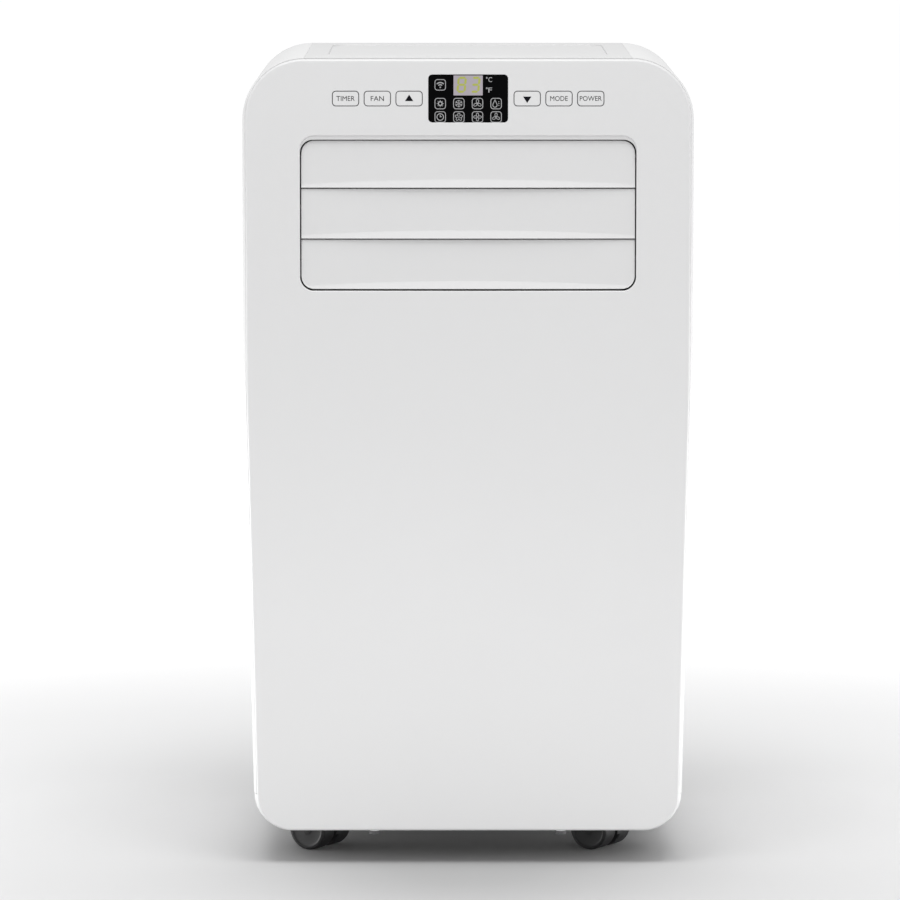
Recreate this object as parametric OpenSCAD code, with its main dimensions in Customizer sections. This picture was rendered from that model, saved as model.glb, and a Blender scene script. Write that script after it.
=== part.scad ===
// Portable air conditioner, standing on four twin-wheel casters.
// Origin: on the floor under the centre of the cabinet. +Z is up and the front faces -Y.

/* [Cabinet] */
// Overall width of the cabinet
cabinet_w = 400; // [396:1:404]
// Overall depth, from the front face to the cord hooks
cabinet_d = 340; // [336:1:344]
// Overall height, standing on the casters
cabinet_h = 720; // [716:1:724]
// Gap between the floor and the underside
floor_gap = 27; // [26:0.5:28]
// Width at the foot, where the sides have tapered in
foot_w = 384; // [380:1:390]
// Height at which the sides stop tapering
bend_z = 430; // [400:5:460]
// Radius of the upper corners
top_r = 55; // [50:1:58]
// Radius of the lower corners
low_r = 35; // [30:1:38]
// Thickness of the moulded shells
wall = 2.5; // [2:0.5:3]
// How far the front panel stands in from the cabinet's outline, at the sides and below
panel_inset = 3.5; // [3:0.1:4]
// How far the front panel's upper edge lies below the top of the cabinet
panel_top_inset = 0.6; // [0.4:0.1:1.5]

/* [Air outlet] */
// Width of the opening in the front panel
vent_w = 297; // [290:1:300]
// Height of the lower edge of the opening
vent_low = 515; // [513:1:517]
// Height of the upper edge of the opening
vent_high = 652; // [650:1:653]
// Distance from one louvre blade to the next
louvre_pitch = 45; // [44:0.5:45.5]
// Number of upright vanes behind the louvre
vane_count = 5; // [5:1:5]
// Distance from one upright vane to the next
vane_pitch = 50; // [46:1:54]

/* [Controls] */
// Width of a key
key_w = 24; // [20:0.5:25]
// Height of a key
key_h = 13.8; // [12:0.2:15]
// Distance from one key to the next
key_pitch = 28; // [28:0.5:29]
// Distance from the middle of the panel to the nearest key
key_start = 52; // [50:0.5:53]
// Height of the row of keys above the floor
key_z = 685; // [684:1:687]
// Width of the display window
display_w = 70; // [60:1:72]
// Height of the display window
display_h = 42; // [38:1:44]

/* [Casters] */
// Diameter of the twin wheels
caster_d = 39; // [38:0.5:40]
// Width over both discs of a twin wheel
caster_w = 44; // [40:1:45]
// Distance of each swivel axis from the middle, sideways
caster_x = 127.5; // [125:0.5:128]
// Distance of the front swivel axes from the middle, towards the front
front_caster_y = 89; // [87:0.5:91]
// Distance of the rear swivel axes from the middle, towards the rear
rear_caster_y = 105; // [103:0.5:107]
// Distance of the wheel behind its swivel axis
caster_trail = 8; // [6:0.5:9]
// Angle that the casters are turned by at rest
caster_turn = 56; // [40:1:70]

/* [Rear] */
// Inner diameter of the exhaust collar
exhaust_d = 150; // [140:1:150]
// Sideways place of the exhaust collar
exhaust_x = -70; // [-74:1:-66]
// Height of the middle of the exhaust collar
exhaust_z = 383; // [382:1:385]
// Width of the two intake filters
filter_w = 280; // [270:1:284]

/* [Hidden] */
$fn = 64;

// General clearances
fit = 0.05;         // radial clearance of a shaft that runs in a bore
gap = 0.3;          // clearance between neighbouring pieces
cut = 1;            // how far a cutting shape runs past the face it cuts

// Cabinet
half_w = cabinet_w / 2;
panel_lift = panel_inset - panel_top_inset;
foot_half = foot_w / 2;
front_y = -cabinet_d / 2;
rear_y = cabinet_d / 2;
panel_t = 3;                          // thickness of the front panel's face
panel_back = front_y + panel_t;
seam_y = front_y + 12;                // back edge of the front panel
shell_front = seam_y + 0.6;           // front edge of the side panels and the top cover
flare_end = shell_front + 12.4;       // where they reach their full size
shell_rear = rear_y - 20;             // their rear edge
rear_face = rear_y - 12;              // outer face of the rear panel
rear_seam = shell_rear + 0.6;
top_half = half_w - top_r - gap;      // half width of the top cover
pan_top = floor_gap + low_r - 0.4;    // upper edge of the base pan
side_low = pan_top + 0.4;             // lower edge of the side panels
handle_y = [-45, 45];                 // opening of each handle recess
handle_z = [565, 605];

// Louvre, in the cabinet's frame
blade_half = vent_w / 2 - 1.2;
blade_low = vent_low + 1.3;
blade_h = louvre_pitch + 1;
blade_pivot_y = front_y + 15;
blade_pivot_up = 27;                  // height of the pivot above the blade's lower edge
blade_pin_r = 2;
link_r = 20;                          // distance of the link pin from the pivot
link_angle = 50;
link_pin_r = 1.5;
link_y = blade_pivot_y + link_r * cos(link_angle);
link_up = blade_pivot_up + link_r * sin(link_angle);
lug_t = 2.5;
tie_rod_x = [-blade_half + 3.5, -blade_half + 6.5];

// Air duct behind the opening
duct_half = vent_w / 2 + 1;
duct_wall = 3;
duct_low = vent_low - 3;
duct_high = vent_high + 2;
duct_skin = 2.5;
duct_back = front_y + 75;

// Upright vanes
vane_pivot_y = front_y + 49;
vane_front = front_y + 33;
vane_rear = front_y + 61;
vane_pin_y = front_y + 67;
vane_pin_r = 1.5;
bar_pin_r = 1.4;
vane_t = 1.6;
vane_x = [for (i = [0 : vane_count - 1]) (i - (vane_count - 1) / 2) * vane_pitch];

// Upper section: evaporator, blower and drip tray
shelf_z = [466, 469];
coil_low = 475;
evap_z = 553;
evap_wheel_r = 64;
evap_y = [-45, 60];
evap_motor_front = -90;
nozzle_z = [617, 657];
nozzle_half = 95;

// Lower section: condenser, blower and compressor
cond_x = -50;
cond_z = 190;
cond_wheel_r = 80;
cond_y = [0, 95];
cond_motor_front = -48;
comp_x = 90;
comp_y = -62;
comp_r = 58;
mount_ring = 70;
mount_z = [51, 65];
mount_angles = [90, 210, 330];
accumulator_at = [163, -15];
splash_x = 85;
splash_z = 75;

// Rear panel
exhaust_r = exhaust_d / 2;
upper_window = [490, 660];
lower_window = [75, 285];
upper_drain = [60, 462];
lower_drain = [0, 48];
gland = [150, 312];
drain_r = 6.2;
gland_r = 4.2;
screw_x = 182;
screw_z = [120, 300, 480, 640];
screw_r = 1.9;

// Casters
wheel_r = caster_d / 2;
well_r = 37;
well_top = floor_gap + 20.5;
stem_r = 5;
stem_boss_top = 62;
axle_r = 3;
web_t = 7;

// ---- Points and helper shapes ----

function arc(cx, cy, r, from, to, n = 8) =
    [for (i = [0 : n]) let (a = from + (to - from) * i / n) [cx + r * cos(a), cy + r * sin(a)]];

function mirrored(points) = [for (i = [len(points) - 1 : -1 : 0]) [-points[i].x, points[i].y]];

function right_side(inset, lift) =
    let (w = half_w - inset, foot = foot_half - inset, low = floor_gap + inset,
         high = cabinet_h - inset + lift, r_low = low_r - inset, r_top = top_r - inset)
    concat(arc(foot - r_low, low + r_low, r_low, -90, 0), [[w, bend_z]],
           arc(w - r_top, high - r_top, r_top, 0, 90, 12));

// The cabinet's outline moved in by inset, with its upper end raised again by lift
function outline(inset, lift = 0) = concat(right_side(inset, lift), mirrored(right_side(inset, lift)));

function rounded(w, h, r) =
    concat(arc(w / 2 - r, -h / 2 + r, r, -90, 0, 5), arc(w / 2 - r, h / 2 - r, r, 0, 90, 5),
           arc(-w / 2 + r, h / 2 - r, r, 90, 180, 5), arc(-w / 2 + r, -h / 2 + r, r, 180, 270, 5));

function spiral(r0, growth, start, n = 40) =
    [for (i = [0 : n - 1]) let (a = start + 360 * i / n, r = r0 + growth * i / n) [r * cos(a), r * sin(a)]];

function blade_z(i) = blade_low + louvre_pitch * i;

function mount_at(a) = [comp_x + mount_ring * cos(a), comp_y + mount_ring * sin(a)];

module box(x, y, z) {
    translate([x[0], y[0], z[0]]) cube([x[1] - x[0], y[1] - y[0], z[1] - z[0]]);
}

// Extrudes an outline drawn in X and Z from y0 to y1
module plate(y0, y1) {
    translate([0, y1, 0]) rotate([90, 0, 0]) linear_extrude(y1 - y0) children();
}

module rod_x(y, z, r, x0, x1) {
    translate([x0, y, z]) rotate([0, 90, 0]) cylinder(r = r, h = x1 - x0);
}

module rod_y(x, z, r, y0, y1) {
    translate([x, y0, z]) rotate([-90, 0, 0]) cylinder(r = r, h = y1 - y0);
}

module rod_z(x, y, r, z0, z1) {
    translate([x, y, z0]) cylinder(r = r, h = z1 - z0);
}

// Thin slice of the cabinet's outline, for the rounded edges of the shells
module slice(y, inset, lift = 0) {
    plate(y, y + 0.02) polygon(outline(inset, lift));
}

// The space that the cabinet's side shells enclose, with their rounded front edge
module body_solid(inset, over = 0) {
    edge = panel_inset - 0.6;
    hull() {
        slice(shell_front - over, edge + inset, panel_lift);
        slice(shell_front + 3, 0.4 * edge + inset, 0.4 * panel_lift);
        slice(shell_front + 7, 0.1 * edge + inset, 0.1 * panel_lift);
        slice(flare_end, inset);
    }
    plate(flare_end, shell_rear + over) polygon(outline(inset));
}

module body_shell() {
    difference() {
        body_solid(0);
        body_solid(wall, cut);
    }
}

// ---- Cabinet ----

module caster_places() {
    for (x = [-caster_x, caster_x], y = [-front_caster_y, rear_caster_y]) translate([x, y, 0]) children();
}

module mount_places() {
    for (a = mount_angles) translate(mount_at(a)) children();
}

module base_pan() {
    foot_x = 83.5;
    foot_r = 5;
    foot_h = 3;
    dam_t = 2.5;
    color("#d9dadb") difference() {
        union() {
            intersection() {
                body_shell();
                box([-half_w, half_w], [front_y, rear_y], [0, pan_top]);
            }
            intersection() {
                body_solid(1);
                for (y = [flare_end - 6, shell_rear - dam_t])
                    box([-half_w, half_w], [y, y + dam_t], [0, pan_top]);
            }
            caster_places() {
                translate([0, 0, floor_gap]) cylinder(r = well_r + wall, h = well_top + wall - floor_gap);
                translate([0, 0, well_top + 0.5]) cylinder(r = 9, h = stem_boss_top - well_top - 0.5);
            }
            mount_places() translate([0, 0, floor_gap + 1]) cylinder(r = 8, h = mount_z[0] - floor_gap - 1);
            for (x = [-foot_x, foot_x])
                translate([x, front_y + 22, floor_gap - foot_h]) cylinder(r = foot_r, h = foot_h + 1);
        }
        caster_places() {
            translate([0, 0, -cut]) cylinder(r = well_r, h = well_top + cut);
            cylinder(r = stem_r + fit, h = stem_boss_top + cut);
        }
        rod_y(lower_drain.x, lower_drain.y, 9.5, shell_rear - 10, shell_rear + cut);
    }
}

module key_row() {
    for (side = [-1, 1], i = [0 : 2]) translate([side * (key_start + key_pitch * i), 0, key_z]) children();
}

module front_panel() {
    vent_r = 12;
    vent_mid = (vent_low + vent_high) / 2;
    peg_r = 3;
    color("#e3e4e5") {
        difference() {
            union() {
                hull() {
                    slice(front_y, panel_inset + 1.8, panel_lift);
                    slice(front_y + 0.6, panel_inset + 0.6, panel_lift);
                    slice(front_y + 2, panel_inset, panel_lift);
                }
                plate(front_y + 2, seam_y) polygon(outline(panel_inset, panel_lift));
            }
            plate(panel_back, seam_y + cut) polygon(outline(panel_inset + wall, panel_lift));
            translate([0, 0, vent_mid]) plate(front_y - cut, panel_back + cut)
                polygon(rounded(vent_w, vent_high - vent_low, vent_r));
            translate([0, 0, key_z]) plate(front_y - cut, panel_back + cut)
                polygon(rounded(display_w + 0.4, display_h + 0.4, 3.7));
            key_row() plate(front_y - cut, panel_back + cut)
                polygon(rounded(key_w + 2 * gap, key_h + 2 * gap, 3.8));
        }
        // Pegs that the control board stands on
        for (x = [-118, 118], z = [key_z - 17, key_z + 17])
            rod_y(x, z, peg_r, panel_back - 0.5, front_y + 13.9);
    }
}

// Block on the inside of a side panel that takes the rear panel's screws
module screw_blocks() {
    difference() {
        intersection() {
            body_solid(1);
            for (z = screw_z) box([screw_x - 7, half_w], [shell_rear - 16, shell_rear - 0.5], [z - 7, z + 7]);
        }
        for (z = screw_z) rod_y(screw_x, z, screw_r + 0.1, shell_rear - 14, shell_rear + cut);
    }
}

module side_panel() {
    difference() {
        union() {
            intersection() {
                body_shell();
                box([top_half + gap, half_w + cut], [front_y, rear_y], [side_low, cabinet_h + cut]);
            }
            screw_blocks();
        }
        box([half_w - 10, half_w + cut], handle_y, handle_z);
    }
}

module right_side_panel() {
    color("#eceded") side_panel();
}

module left_side_panel() {
    color("#eceded") mirror([1, 0, 0]) side_panel();
}

module handle_cup() {
    depth = 30;
    lip = 0.4;
    outer_y = [handle_y[0] + lip, handle_y[1] - lip];
    outer_z = [handle_z[0] + lip, handle_z[1] - lip];
    difference() {
        box([half_w - depth, half_w - lip], outer_y, outer_z);
        box([half_w - depth + wall, half_w + cut], [outer_y[0] + wall, outer_y[1] - wall],
            [outer_z[0] + wall, outer_z[1] - wall]);
    }
}

module right_handle_cup() {
    color("#dfe0e1") handle_cup();
}

module left_handle_cup() {
    color("#dfe0e1") mirror([1, 0, 0]) handle_cup();
}

module top_cover() {
    tray = [250, 210];
    tray_depth = 1.2;
    groove_w = 3;
    color("#e6e7e8") difference() {
        intersection() {
            body_shell();
            box([-top_half, top_half], [front_y, rear_y], [cabinet_h - 30, cabinet_h + cut]);
        }
        translate([0, 10, cabinet_h - tray_depth]) linear_extrude(cut + tray_depth)
            polygon(rounded(tray.x, tray.y, 16));
        for (y = [-137, -129, -121])
            box([-top_half + 8, top_half - 8], [y, y + groove_w], [cabinet_h - 1, cabinet_h + cut]);
    }
}

// Frame that holds an intake filter, open towards the rear
module filter_pocket(z) {
    ledge = 6;
    y0 = rear_seam - 5;
    difference() {
        box([-filter_w / 2 - 3, filter_w / 2 + 3], [y0, rear_face - 1], [z[0] - 3, z[1] + 3]);
        box([-filter_w / 2 - 0.5, filter_w / 2 + 0.5], [y0 + wall, rear_y], [z[0] - 0.5, z[1] + 0.5]);
        box([-filter_w / 2 + ledge, filter_w / 2 - ledge], [y0 - cut, rear_y], [z[0] + ledge, z[1] - ledge]);
    }
}

module cord_hook(x, z, up) {
    arm = 12;
    tip = 16;
    box([x - 12, x + 12], [rear_face - 1, rear_y], [z - arm / 4, z + arm / 4]);
    box([x - 12, x + 12], [rear_y - 3, rear_y], up > 0 ? [z, z + tip] : [z - tip, z]);
}

module rear_panel() {
    spout_r = 8.5;
    color("#eceded") difference() {
        union() {
            difference() {
                hull() {
                    slice(rear_seam, 0);
                    slice(rear_seam + 3.4, 1);
                    slice(rear_face - 1.2, 3.2);
                    slice(rear_face - 0.02, 6);
                }
                plate(rear_seam - cut, rear_face - wall) polygon(outline(wall + 1));
                for (z = [upper_window, lower_window])
                    box([-filter_w / 2 - 0.5, filter_w / 2 + 0.5], [0, rear_y], [z[0] - 0.5, z[1] + 0.5]);
            }
            filter_pocket(upper_window);
            filter_pocket(lower_window);
            cord_hook(100, 430, 1);
            cord_hook(100, 340, -1);
            for (p = [upper_drain, lower_drain]) rod_y(p.x, p.y, spout_r, shell_rear - 18, rear_face - 1);
        }
        for (p = [upper_drain, lower_drain]) rod_y(p.x, p.y, drain_r, shell_rear - 20, rear_y);
        rod_y(exhaust_x, exhaust_z, exhaust_r + 3.6, 0, rear_y);
        rod_y(gland.x, gland.y, 7.2, 0, rear_y);
        for (side = [-1, 1], z = screw_z) rod_y(side * screw_x, z, screw_r + 0.3, 0, rear_y);
    }
}

module panel_screws() {
    head_r = 4;
    color("#b8babc") for (side = [-1, 1], z = screw_z) difference() {
        union() {
            rod_y(side * screw_x, z, screw_r, shell_rear - 12, rear_face + 1);
            rod_y(side * screw_x, z, head_r, rear_face, rear_face + 2.4);
        }
        for (turn = [0, 90]) translate([side * screw_x, rear_face + 2.4, z]) rotate([0, turn, 0])
            cube([5, 2.4, 1], center = true);
    }
}

// ---- Controls ----

module control_board() {
    board_y = [front_y + 14, front_y + 15.6];
    switch_r = 3;
    color("#2f6b45") {
        box([-125, 125], board_y, [key_z - 21, key_z + 21]);
        key_row() rod_y(0, 0, switch_r, front_y + 12, front_y + 14.5);
        box([-display_w / 2 + 2, display_w / 2 - 2], [panel_back + 0.5, front_y + 14.5],
            [key_z - display_h / 2 + 2, key_z + display_h / 2 - 2]);
        box([-60, -20], [board_y[1] - 0.5, board_y[1] + 8], [key_z - 15, key_z + 15]);
    }
}

module display_window() {
    color("#15171a") translate([0, 0, key_z]) plate(front_y, panel_back)
        polygon(rounded(display_w, display_h, 3.5));
}

module key(x) {
    flange = 1.5;
    color("#e8e9ea") translate([x, 0, key_z]) {
        plate(front_y, panel_back + 1) polygon(rounded(key_w, key_h, 3.5));
        plate(panel_back + gap, panel_back + 2) polygon(rounded(key_w + 2 * flange, key_h + 2 * flange, 4));
        rod_y(0, 0, 2.4, panel_back + 1, front_y + 10.6);
    }
}

module key_timer() { key(-key_start - 2 * key_pitch); }
module key_fan() { key(-key_start - key_pitch); }
module key_up() { key(-key_start); }
module key_down() { key(key_start); }
module key_mode() { key(key_start + key_pitch); }
module key_power() { key(key_start + 2 * key_pitch); }

// ---- Air outlet ----

module vent_duct() {
    flange = 6;
    color("#cfd1d3") difference() {
        union() {
            box([-duct_half - duct_wall, duct_half + duct_wall], [panel_back + 0.2, duct_back],
                [duct_low - duct_skin, duct_high + duct_skin]);
            box([-duct_half - duct_wall - flange, duct_half + duct_wall + flange],
                [panel_back + 0.2, panel_back + 2.2],
                [duct_low - duct_skin - flange, duct_high + duct_skin + flange]);
        }
        box([-duct_half, duct_half], [front_y, duct_back - 2], [duct_low, duct_high]);
        box([-nozzle_half + 2, nozzle_half - 2], [front_y, duct_back + cut], [nozzle_z[0] + 2, duct_high]);
        for (i = [0 : 2])
            rod_x(blade_pivot_y, blade_z(i) + blade_pivot_up, blade_pin_r + fit, -half_w, half_w);
        for (x = vane_x) rod_z(x, vane_pivot_y, vane_pin_r + fit, duct_low - 10, duct_high + 10);
    }
}

// Blade of the louvre: a leaning plate with a lip that bows forward in the middle
module louvre_blade(i) {
    lip = 5.6;
    bow = 4.3;
    bow_r = (blade_half * blade_half + bow * bow) / (2 * bow);
    profile = [[front_y + 0.2, 0], [front_y + lip - 1, 9], [front_y + 7, blade_h], [front_y + 9.2, blade_h],
               [front_y + 7, 8.5], [front_y + lip, 0]];
    sweep = asin(blade_half / bow_r);
    plan = concat(arc(0, front_y + 0.2 + bow_r, bow_r, -90 - sweep, -90 + sweep, 24),
                  [[blade_half, front_y + 12], [-blade_half, front_y + 12]]);
    z = blade_z(i);
    color("#e0e1e2") {
        intersection() {
            translate([-blade_half, 0, z]) rotate([90, 0, 90]) linear_extrude(2 * blade_half)
                polygon(profile);
            translate([0, 0, z - cut]) linear_extrude(blade_h + 2 * cut) polygon(plan);
            // The lowest blade's corners follow the opening's
            translate([0, 0, z + blade_h]) plate(front_y, front_y + 12)
                polygon(rounded(2 * blade_half, 2 * blade_h, i == 0 ? 11 : 0.5));
        }
        // End lugs with the pivot pins
        for (side = [-1, 1]) {
            lug_x = side > 0 ? [blade_half - lug_t, blade_half] : [-blade_half, -blade_half + lug_t];
            box(lug_x, [front_y + 7, blade_pivot_y], [z + blade_pivot_up - 4, z + blade_pivot_up + 4]);
            rod_x(blade_pivot_y, z + blade_pivot_up, 4, lug_x[0], lug_x[1]);
            pin_x = side > 0 ? [blade_half - 1, duct_half + 2.7] : [-duct_half - 2.7, -blade_half + 1];
            rod_x(blade_pivot_y, z + blade_pivot_up, blade_pin_r, pin_x[0], pin_x[1]);
        }
        // Arm and pin for the tie rod
        translate([-blade_half, blade_pivot_y, z + blade_pivot_up]) rotate([link_angle, 0, 0])
            translate([0, 0, -3]) cube([lug_t, link_r, 6]);
        rod_x(link_y, z + link_up, 3.5, -blade_half, -blade_half + lug_t);
        rod_x(link_y, z + link_up, link_pin_r, -blade_half + 1, tie_rod_x[1] + 0.6);
    }
}

module louvre_top() { louvre_blade(2); }
module louvre_middle() { louvre_blade(1); }
module louvre_bottom() { louvre_blade(0); }

module louvre_tie_rod() {
    half = 3;
    color("#c9cbcd") difference() {
        union() {
            box(tie_rod_x, [link_y - half, link_y + half], [blade_z(0) + link_up, blade_z(2) + link_up]);
            for (i = [0, 2]) rod_x(link_y, blade_z(i) + link_up, half, tie_rod_x[0], tie_rod_x[1]);
        }
        for (i = [0 : 2])
            rod_x(link_y, blade_z(i) + link_up, link_pin_r + (i == 2 ? fit : 0.2), -half_w, 0);
    }
}

module louvre_motor() {
    r = 9.5;
    color("#8f9396") {
        rod_x(blade_pivot_y, blade_z(2) + blade_pivot_up, r, -duct_half - 19, -duct_half - 4);
        rod_x(blade_pivot_y, blade_z(2) + blade_pivot_up, 3, -duct_half - 5, -duct_half - duct_wall - gap);
    }
}

module vane(i) {
    x = vane_x[i - 1];
    foot = duct_low + 2;
    head = duct_high - 2;
    color("#d4d6d8") {
        box([x - vane_t / 2, x + vane_t / 2], [vane_front, vane_rear], [foot, head]);
        rod_z(x, vane_pivot_y, vane_pin_r, foot - 4, head + 4);
        box([x - 2.5, x + 2.5], [vane_rear - 3, vane_pin_y + 2.5], [foot, foot + 2.5]);
        rod_z(x, vane_pin_y, bar_pin_r, foot + 2, foot + 8);
    }
}

module vane_1() { vane(1); }
module vane_2() { vane(2); }
module vane_3() { vane(3); }
module vane_4() { vane(4); }
module vane_5() { vane(5); }

module vane_tie_bar() {
    half = 3;
    low = duct_low + 2 + 2.5 + gap;
    color("#c9cbcd") difference() {
        box([vane_x[0] - 5, vane_x[vane_count - 1] + 5], [vane_pin_y - half, vane_pin_y + half],
            [low, low + 3]);
        for (x = vane_x)
            rod_z(x, vane_pin_y, bar_pin_r + (x == vane_x[0] ? fit : 0.2), low - cut, low + 10);
    }
}

// ---- Cooling circuit ----

// Finned block with end plates and the return bends of its tubes
module coil(half, y, z, bends) {
    bend_r = (z[1] - z[0]) / bends / 4;
    color("#b9bdc0") {
        box([-half, half], [y[0] + 1.5, y[1] - 1.5], [z[0] + 1, z[1] - 1]);
        for (x = [-half - 1.5, half]) box([x, x + 1.5], y, z);
    }
    color("#b87333") for (side = [-1, 1], i = [0 : bends - 1])
        translate([side * (half + 1), (y[0] + y[1]) / 2, z[0] + (z[1] - z[0]) * (i + 0.5) / bends])
            rotate([0, 0, side > 0 ? 0 : 180]) rotate([90, 0, 0]) rotate([0, 0, -90])
                rotate_extrude(angle = 180) translate([bend_r, 0]) circle(r = 3, $fn = 24);
}

module evaporator_coil() { coil(140, [75, 100], [coil_low, 665], 5); }
module condenser_coil() { coil(150, [105, 130], [70, 295], 6); }

// Outline of a scroll with its outlet channel, moved in by the wall thickness t
module scroll_outline(x, z, r0, growth, start, channel_x, channel_z, t) {
    translate([x, z]) polygon(spiral(r0 - t, growth, start));
    translate([channel_x[0] + t, channel_z[0]])
        square([channel_x[1] - channel_x[0] - 2 * t, channel_z[1] - channel_z[0] - t]);
}

module evaporator_housing() {
    t = 2;
    channel = [-nozzle_half, nozzle_half];
    channel_z = [evap_z + 47, nozzle_z[1]];
    color("#dcdedf") difference() {
        union() {
            plate(evap_y[0], evap_y[1]) scroll_outline(0, evap_z, 72, 18, -120, channel, channel_z, 0);
            box(channel, [duct_back + gap, evap_y[0] + 1], nozzle_z);
        }
        plate(evap_y[0] + t, evap_y[1] - t) scroll_outline(0, evap_z, 72, 18, -120, channel, channel_z, t);
        box([-nozzle_half + t, nozzle_half - t], [duct_back - cut, evap_y[0] + 3],
            [nozzle_z[0] + t, nozzle_z[1] - t]);
        rod_y(0, evap_z, 52, evap_y[1] - 5, evap_y[1] + cut);
        rod_y(0, evap_z, 8, evap_y[0] - cut, evap_y[0] + 5);
    }
}

module condenser_housing() {
    t = 2;
    channel = [exhaust_x - 85, exhaust_x + 85];
    channel_z = [cond_z + 60, 463];
    color("#c4c7c9") difference() {
        plate(cond_y[0], cond_y[1]) scroll_outline(cond_x, cond_z, 86, 26, -60, channel, channel_z, 0);
        plate(cond_y[0] + t, cond_y[1] - t)
            scroll_outline(cond_x, cond_z, 86, 26, -60, channel, channel_z, t);
        rod_y(exhaust_x, exhaust_z, exhaust_r, cond_y[1] - 5, cond_y[1] + cut);
        rod_y(cond_x, cond_z, 66, cond_y[1] - 5, cond_y[1] + cut);
        rod_y(cond_x, cond_z, 8, cond_y[0] - cut, cond_y[0] + 5);
    }
}

// Centrifugal wheel with its shaft, axis along Y
module blower(x, z, r, y, shaft_end, blades) {
    depth = 12;
    color("#3b3f42") {
        rod_y(x, z, r, y[0], y[0] + 2);
        rod_y(x, z, 14, y[0] + 1, y[0] + 22);
        difference() {
            rod_y(x, z, r, y[1] - 3, y[1]);
            rod_y(x, z, r - depth, y[1] - 4, y[1] + cut);
        }
        for (i = [0 : blades - 1]) translate([x, 0, z]) rotate([0, 360 * i / blades, 0])
            translate([r - depth + 1.5, y[0] + 1, 0]) rotate([0, 25, 0])
                cube([depth - 4, y[1] - y[0] - 2.6, 1.4]);
    }
    color("#9a9da0") rod_y(x, z, 4, shaft_end, y[0] + 10);
}

module evaporator_blower() {
    blower(0, evap_z, evap_wheel_r, [evap_y[0] + 6, evap_y[1] - 8], evap_motor_front + 8, 20);
}

module condenser_blower() {
    blower(cond_x, cond_z, cond_wheel_r, [cond_y[0] + 6, cond_y[1] - 12], cond_motor_front + 8, 20);
}

// Fan motor with a blind bore for the shaft, axis along Y
module motor(x, z, r, y0, y1, shaft_r) {
    color("#7d8184") difference() {
        union() {
            rod_y(x, z, r, y0, y1);
            rod_y(x, z, r * 0.45, y0 - 4, y0 + 1);
            for (a = [45, 135, 225, 315]) rod_y(x + r * cos(a), z + r * sin(a), 5, y1 - 4, y1);
        }
        rod_y(x, z, shaft_r + fit, y0 + 6, y1 + cut);
    }
}

module evaporator_motor() { motor(0, evap_z, 36, evap_motor_front, evap_y[0] - gap, 4); }
module condenser_motor() { motor(cond_x, cond_z, 42, cond_motor_front, cond_y[0] - gap, 4); }

module drip_tray() {
    trough = [68, 108];
    color("#d5d7d9") {
        box([-150, 150], [-88, 124], shelf_z);
        difference() {
            box([-150, 150], trough, [shelf_z[0], coil_low - 1]);
            box([-147, 147], [trough[0] + 3, trough[1] - 3], [shelf_z[1] - 0.5, coil_low]);
        }
    }
}

module compressor() {
    body_top = 250;
    plate_t = 3;
    lug_r = 11;
    profile = concat([[0, mount_z[1] + 1], [comp_r - 6, mount_z[1] + 1], [comp_r, mount_z[1] + 9]],
                     [[comp_r, body_top - 26]], arc(comp_r - 30, body_top - 26, 30, 0, 90, 6),
                     [[0, body_top + 4]]);
    color("#26282a") {
        translate([comp_x, comp_y, 0]) rotate_extrude() polygon(profile);
        translate([0, 0, mount_z[1]]) linear_extrude(plate_t) difference() {
            union() {
                polygon([for (a = mount_angles) mount_at(a)]);
                for (a = mount_angles) translate(mount_at(a)) circle(r = lug_r);
            }
            for (a = mount_angles) translate(mount_at(a)) circle(r = 4.2);
        }
        rod_z(comp_x, comp_y, 6, body_top, body_top + 14);
    }
}

module compressor_mounts() {
    color("#2b2b2b") mount_places() translate([0, 0, mount_z[0]]) {
        cylinder(r = 9, h = 5);
        cylinder(r = 6.5, h = 11);
        translate([0, 0, 9]) cylinder(r = 9, h = mount_z[1] - mount_z[0] - 9);
        cylinder(r = 4, h = mount_z[1] - mount_z[0] + 6);
    }
}

module accumulator() {
    r = 18;
    z = [95, 225];
    profile = concat([[0, z[0]]], arc(r - 10, z[0] + 10, 10, -90, 0, 5),
                     arc(r - 10, z[1] - 10, 10, 0, 90, 5), [[0, z[1]]]);
    color("#2d2f31") translate(accumulator_at) rotate_extrude() polygon(profile);
}

// Tube along a list of corner points, with a ball at each corner
module pipe(points, r) {
    for (i = [0 : len(points) - 2]) {
        run = points[i + 1] - points[i];
        length = norm(run);
        translate(points[i]) rotate([0, acos(run.z / length), atan2(run.y, run.x)])
            cylinder(r = r, h = length, $fn = 24);
    }
    for (i = [1 : len(points) - 2]) translate(points[i]) sphere(r = r, $fn = 24);
}

module refrigerant_pipes() {
    a = accumulator_at;
    color("#b87333") {
        pipe([[comp_x, comp_y, 264.5], [comp_x, comp_y, 312], [comp_x, 117, 312], [comp_x, 117, 295.5]], 4);
        pipe([[a.x, a.y, 225.5], [a.x, a.y, 440], [a.x, 88, 440], [a.x, 88, 513], [141.9, 88, 513]], 4.5);
        pipe([[a.x, a.y, 94.5], [a.x, a.y, 80], [comp_x + 54, comp_y + 38, 80]], 4);
    }
}

module splash_wheel() {
    r = 36;
    y = [57, 60];
    color("#e9e9e4") {
        rod_y(splash_x, splash_z, r - 8, y[0], y[1]);
        for (i = [0 : 7]) translate([splash_x, y[0], splash_z]) rotate([0, 45 * i, 0])
            translate([0, 0, -2]) cube([r, y[1] - y[0], 4]);
        rod_y(splash_x, splash_z, 3, 36, y[0] + 1);
    }
}

module splash_motor() { motor(splash_x, splash_z, 18, 30, 55, 3); }

module electrics_box() {
    color("#a9adb0") difference() {
        box([-172, -76], [-148, -98], [250, 380]);
        box([-170, -78], [-146, -100], [252, 378]);
    }
}

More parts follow.
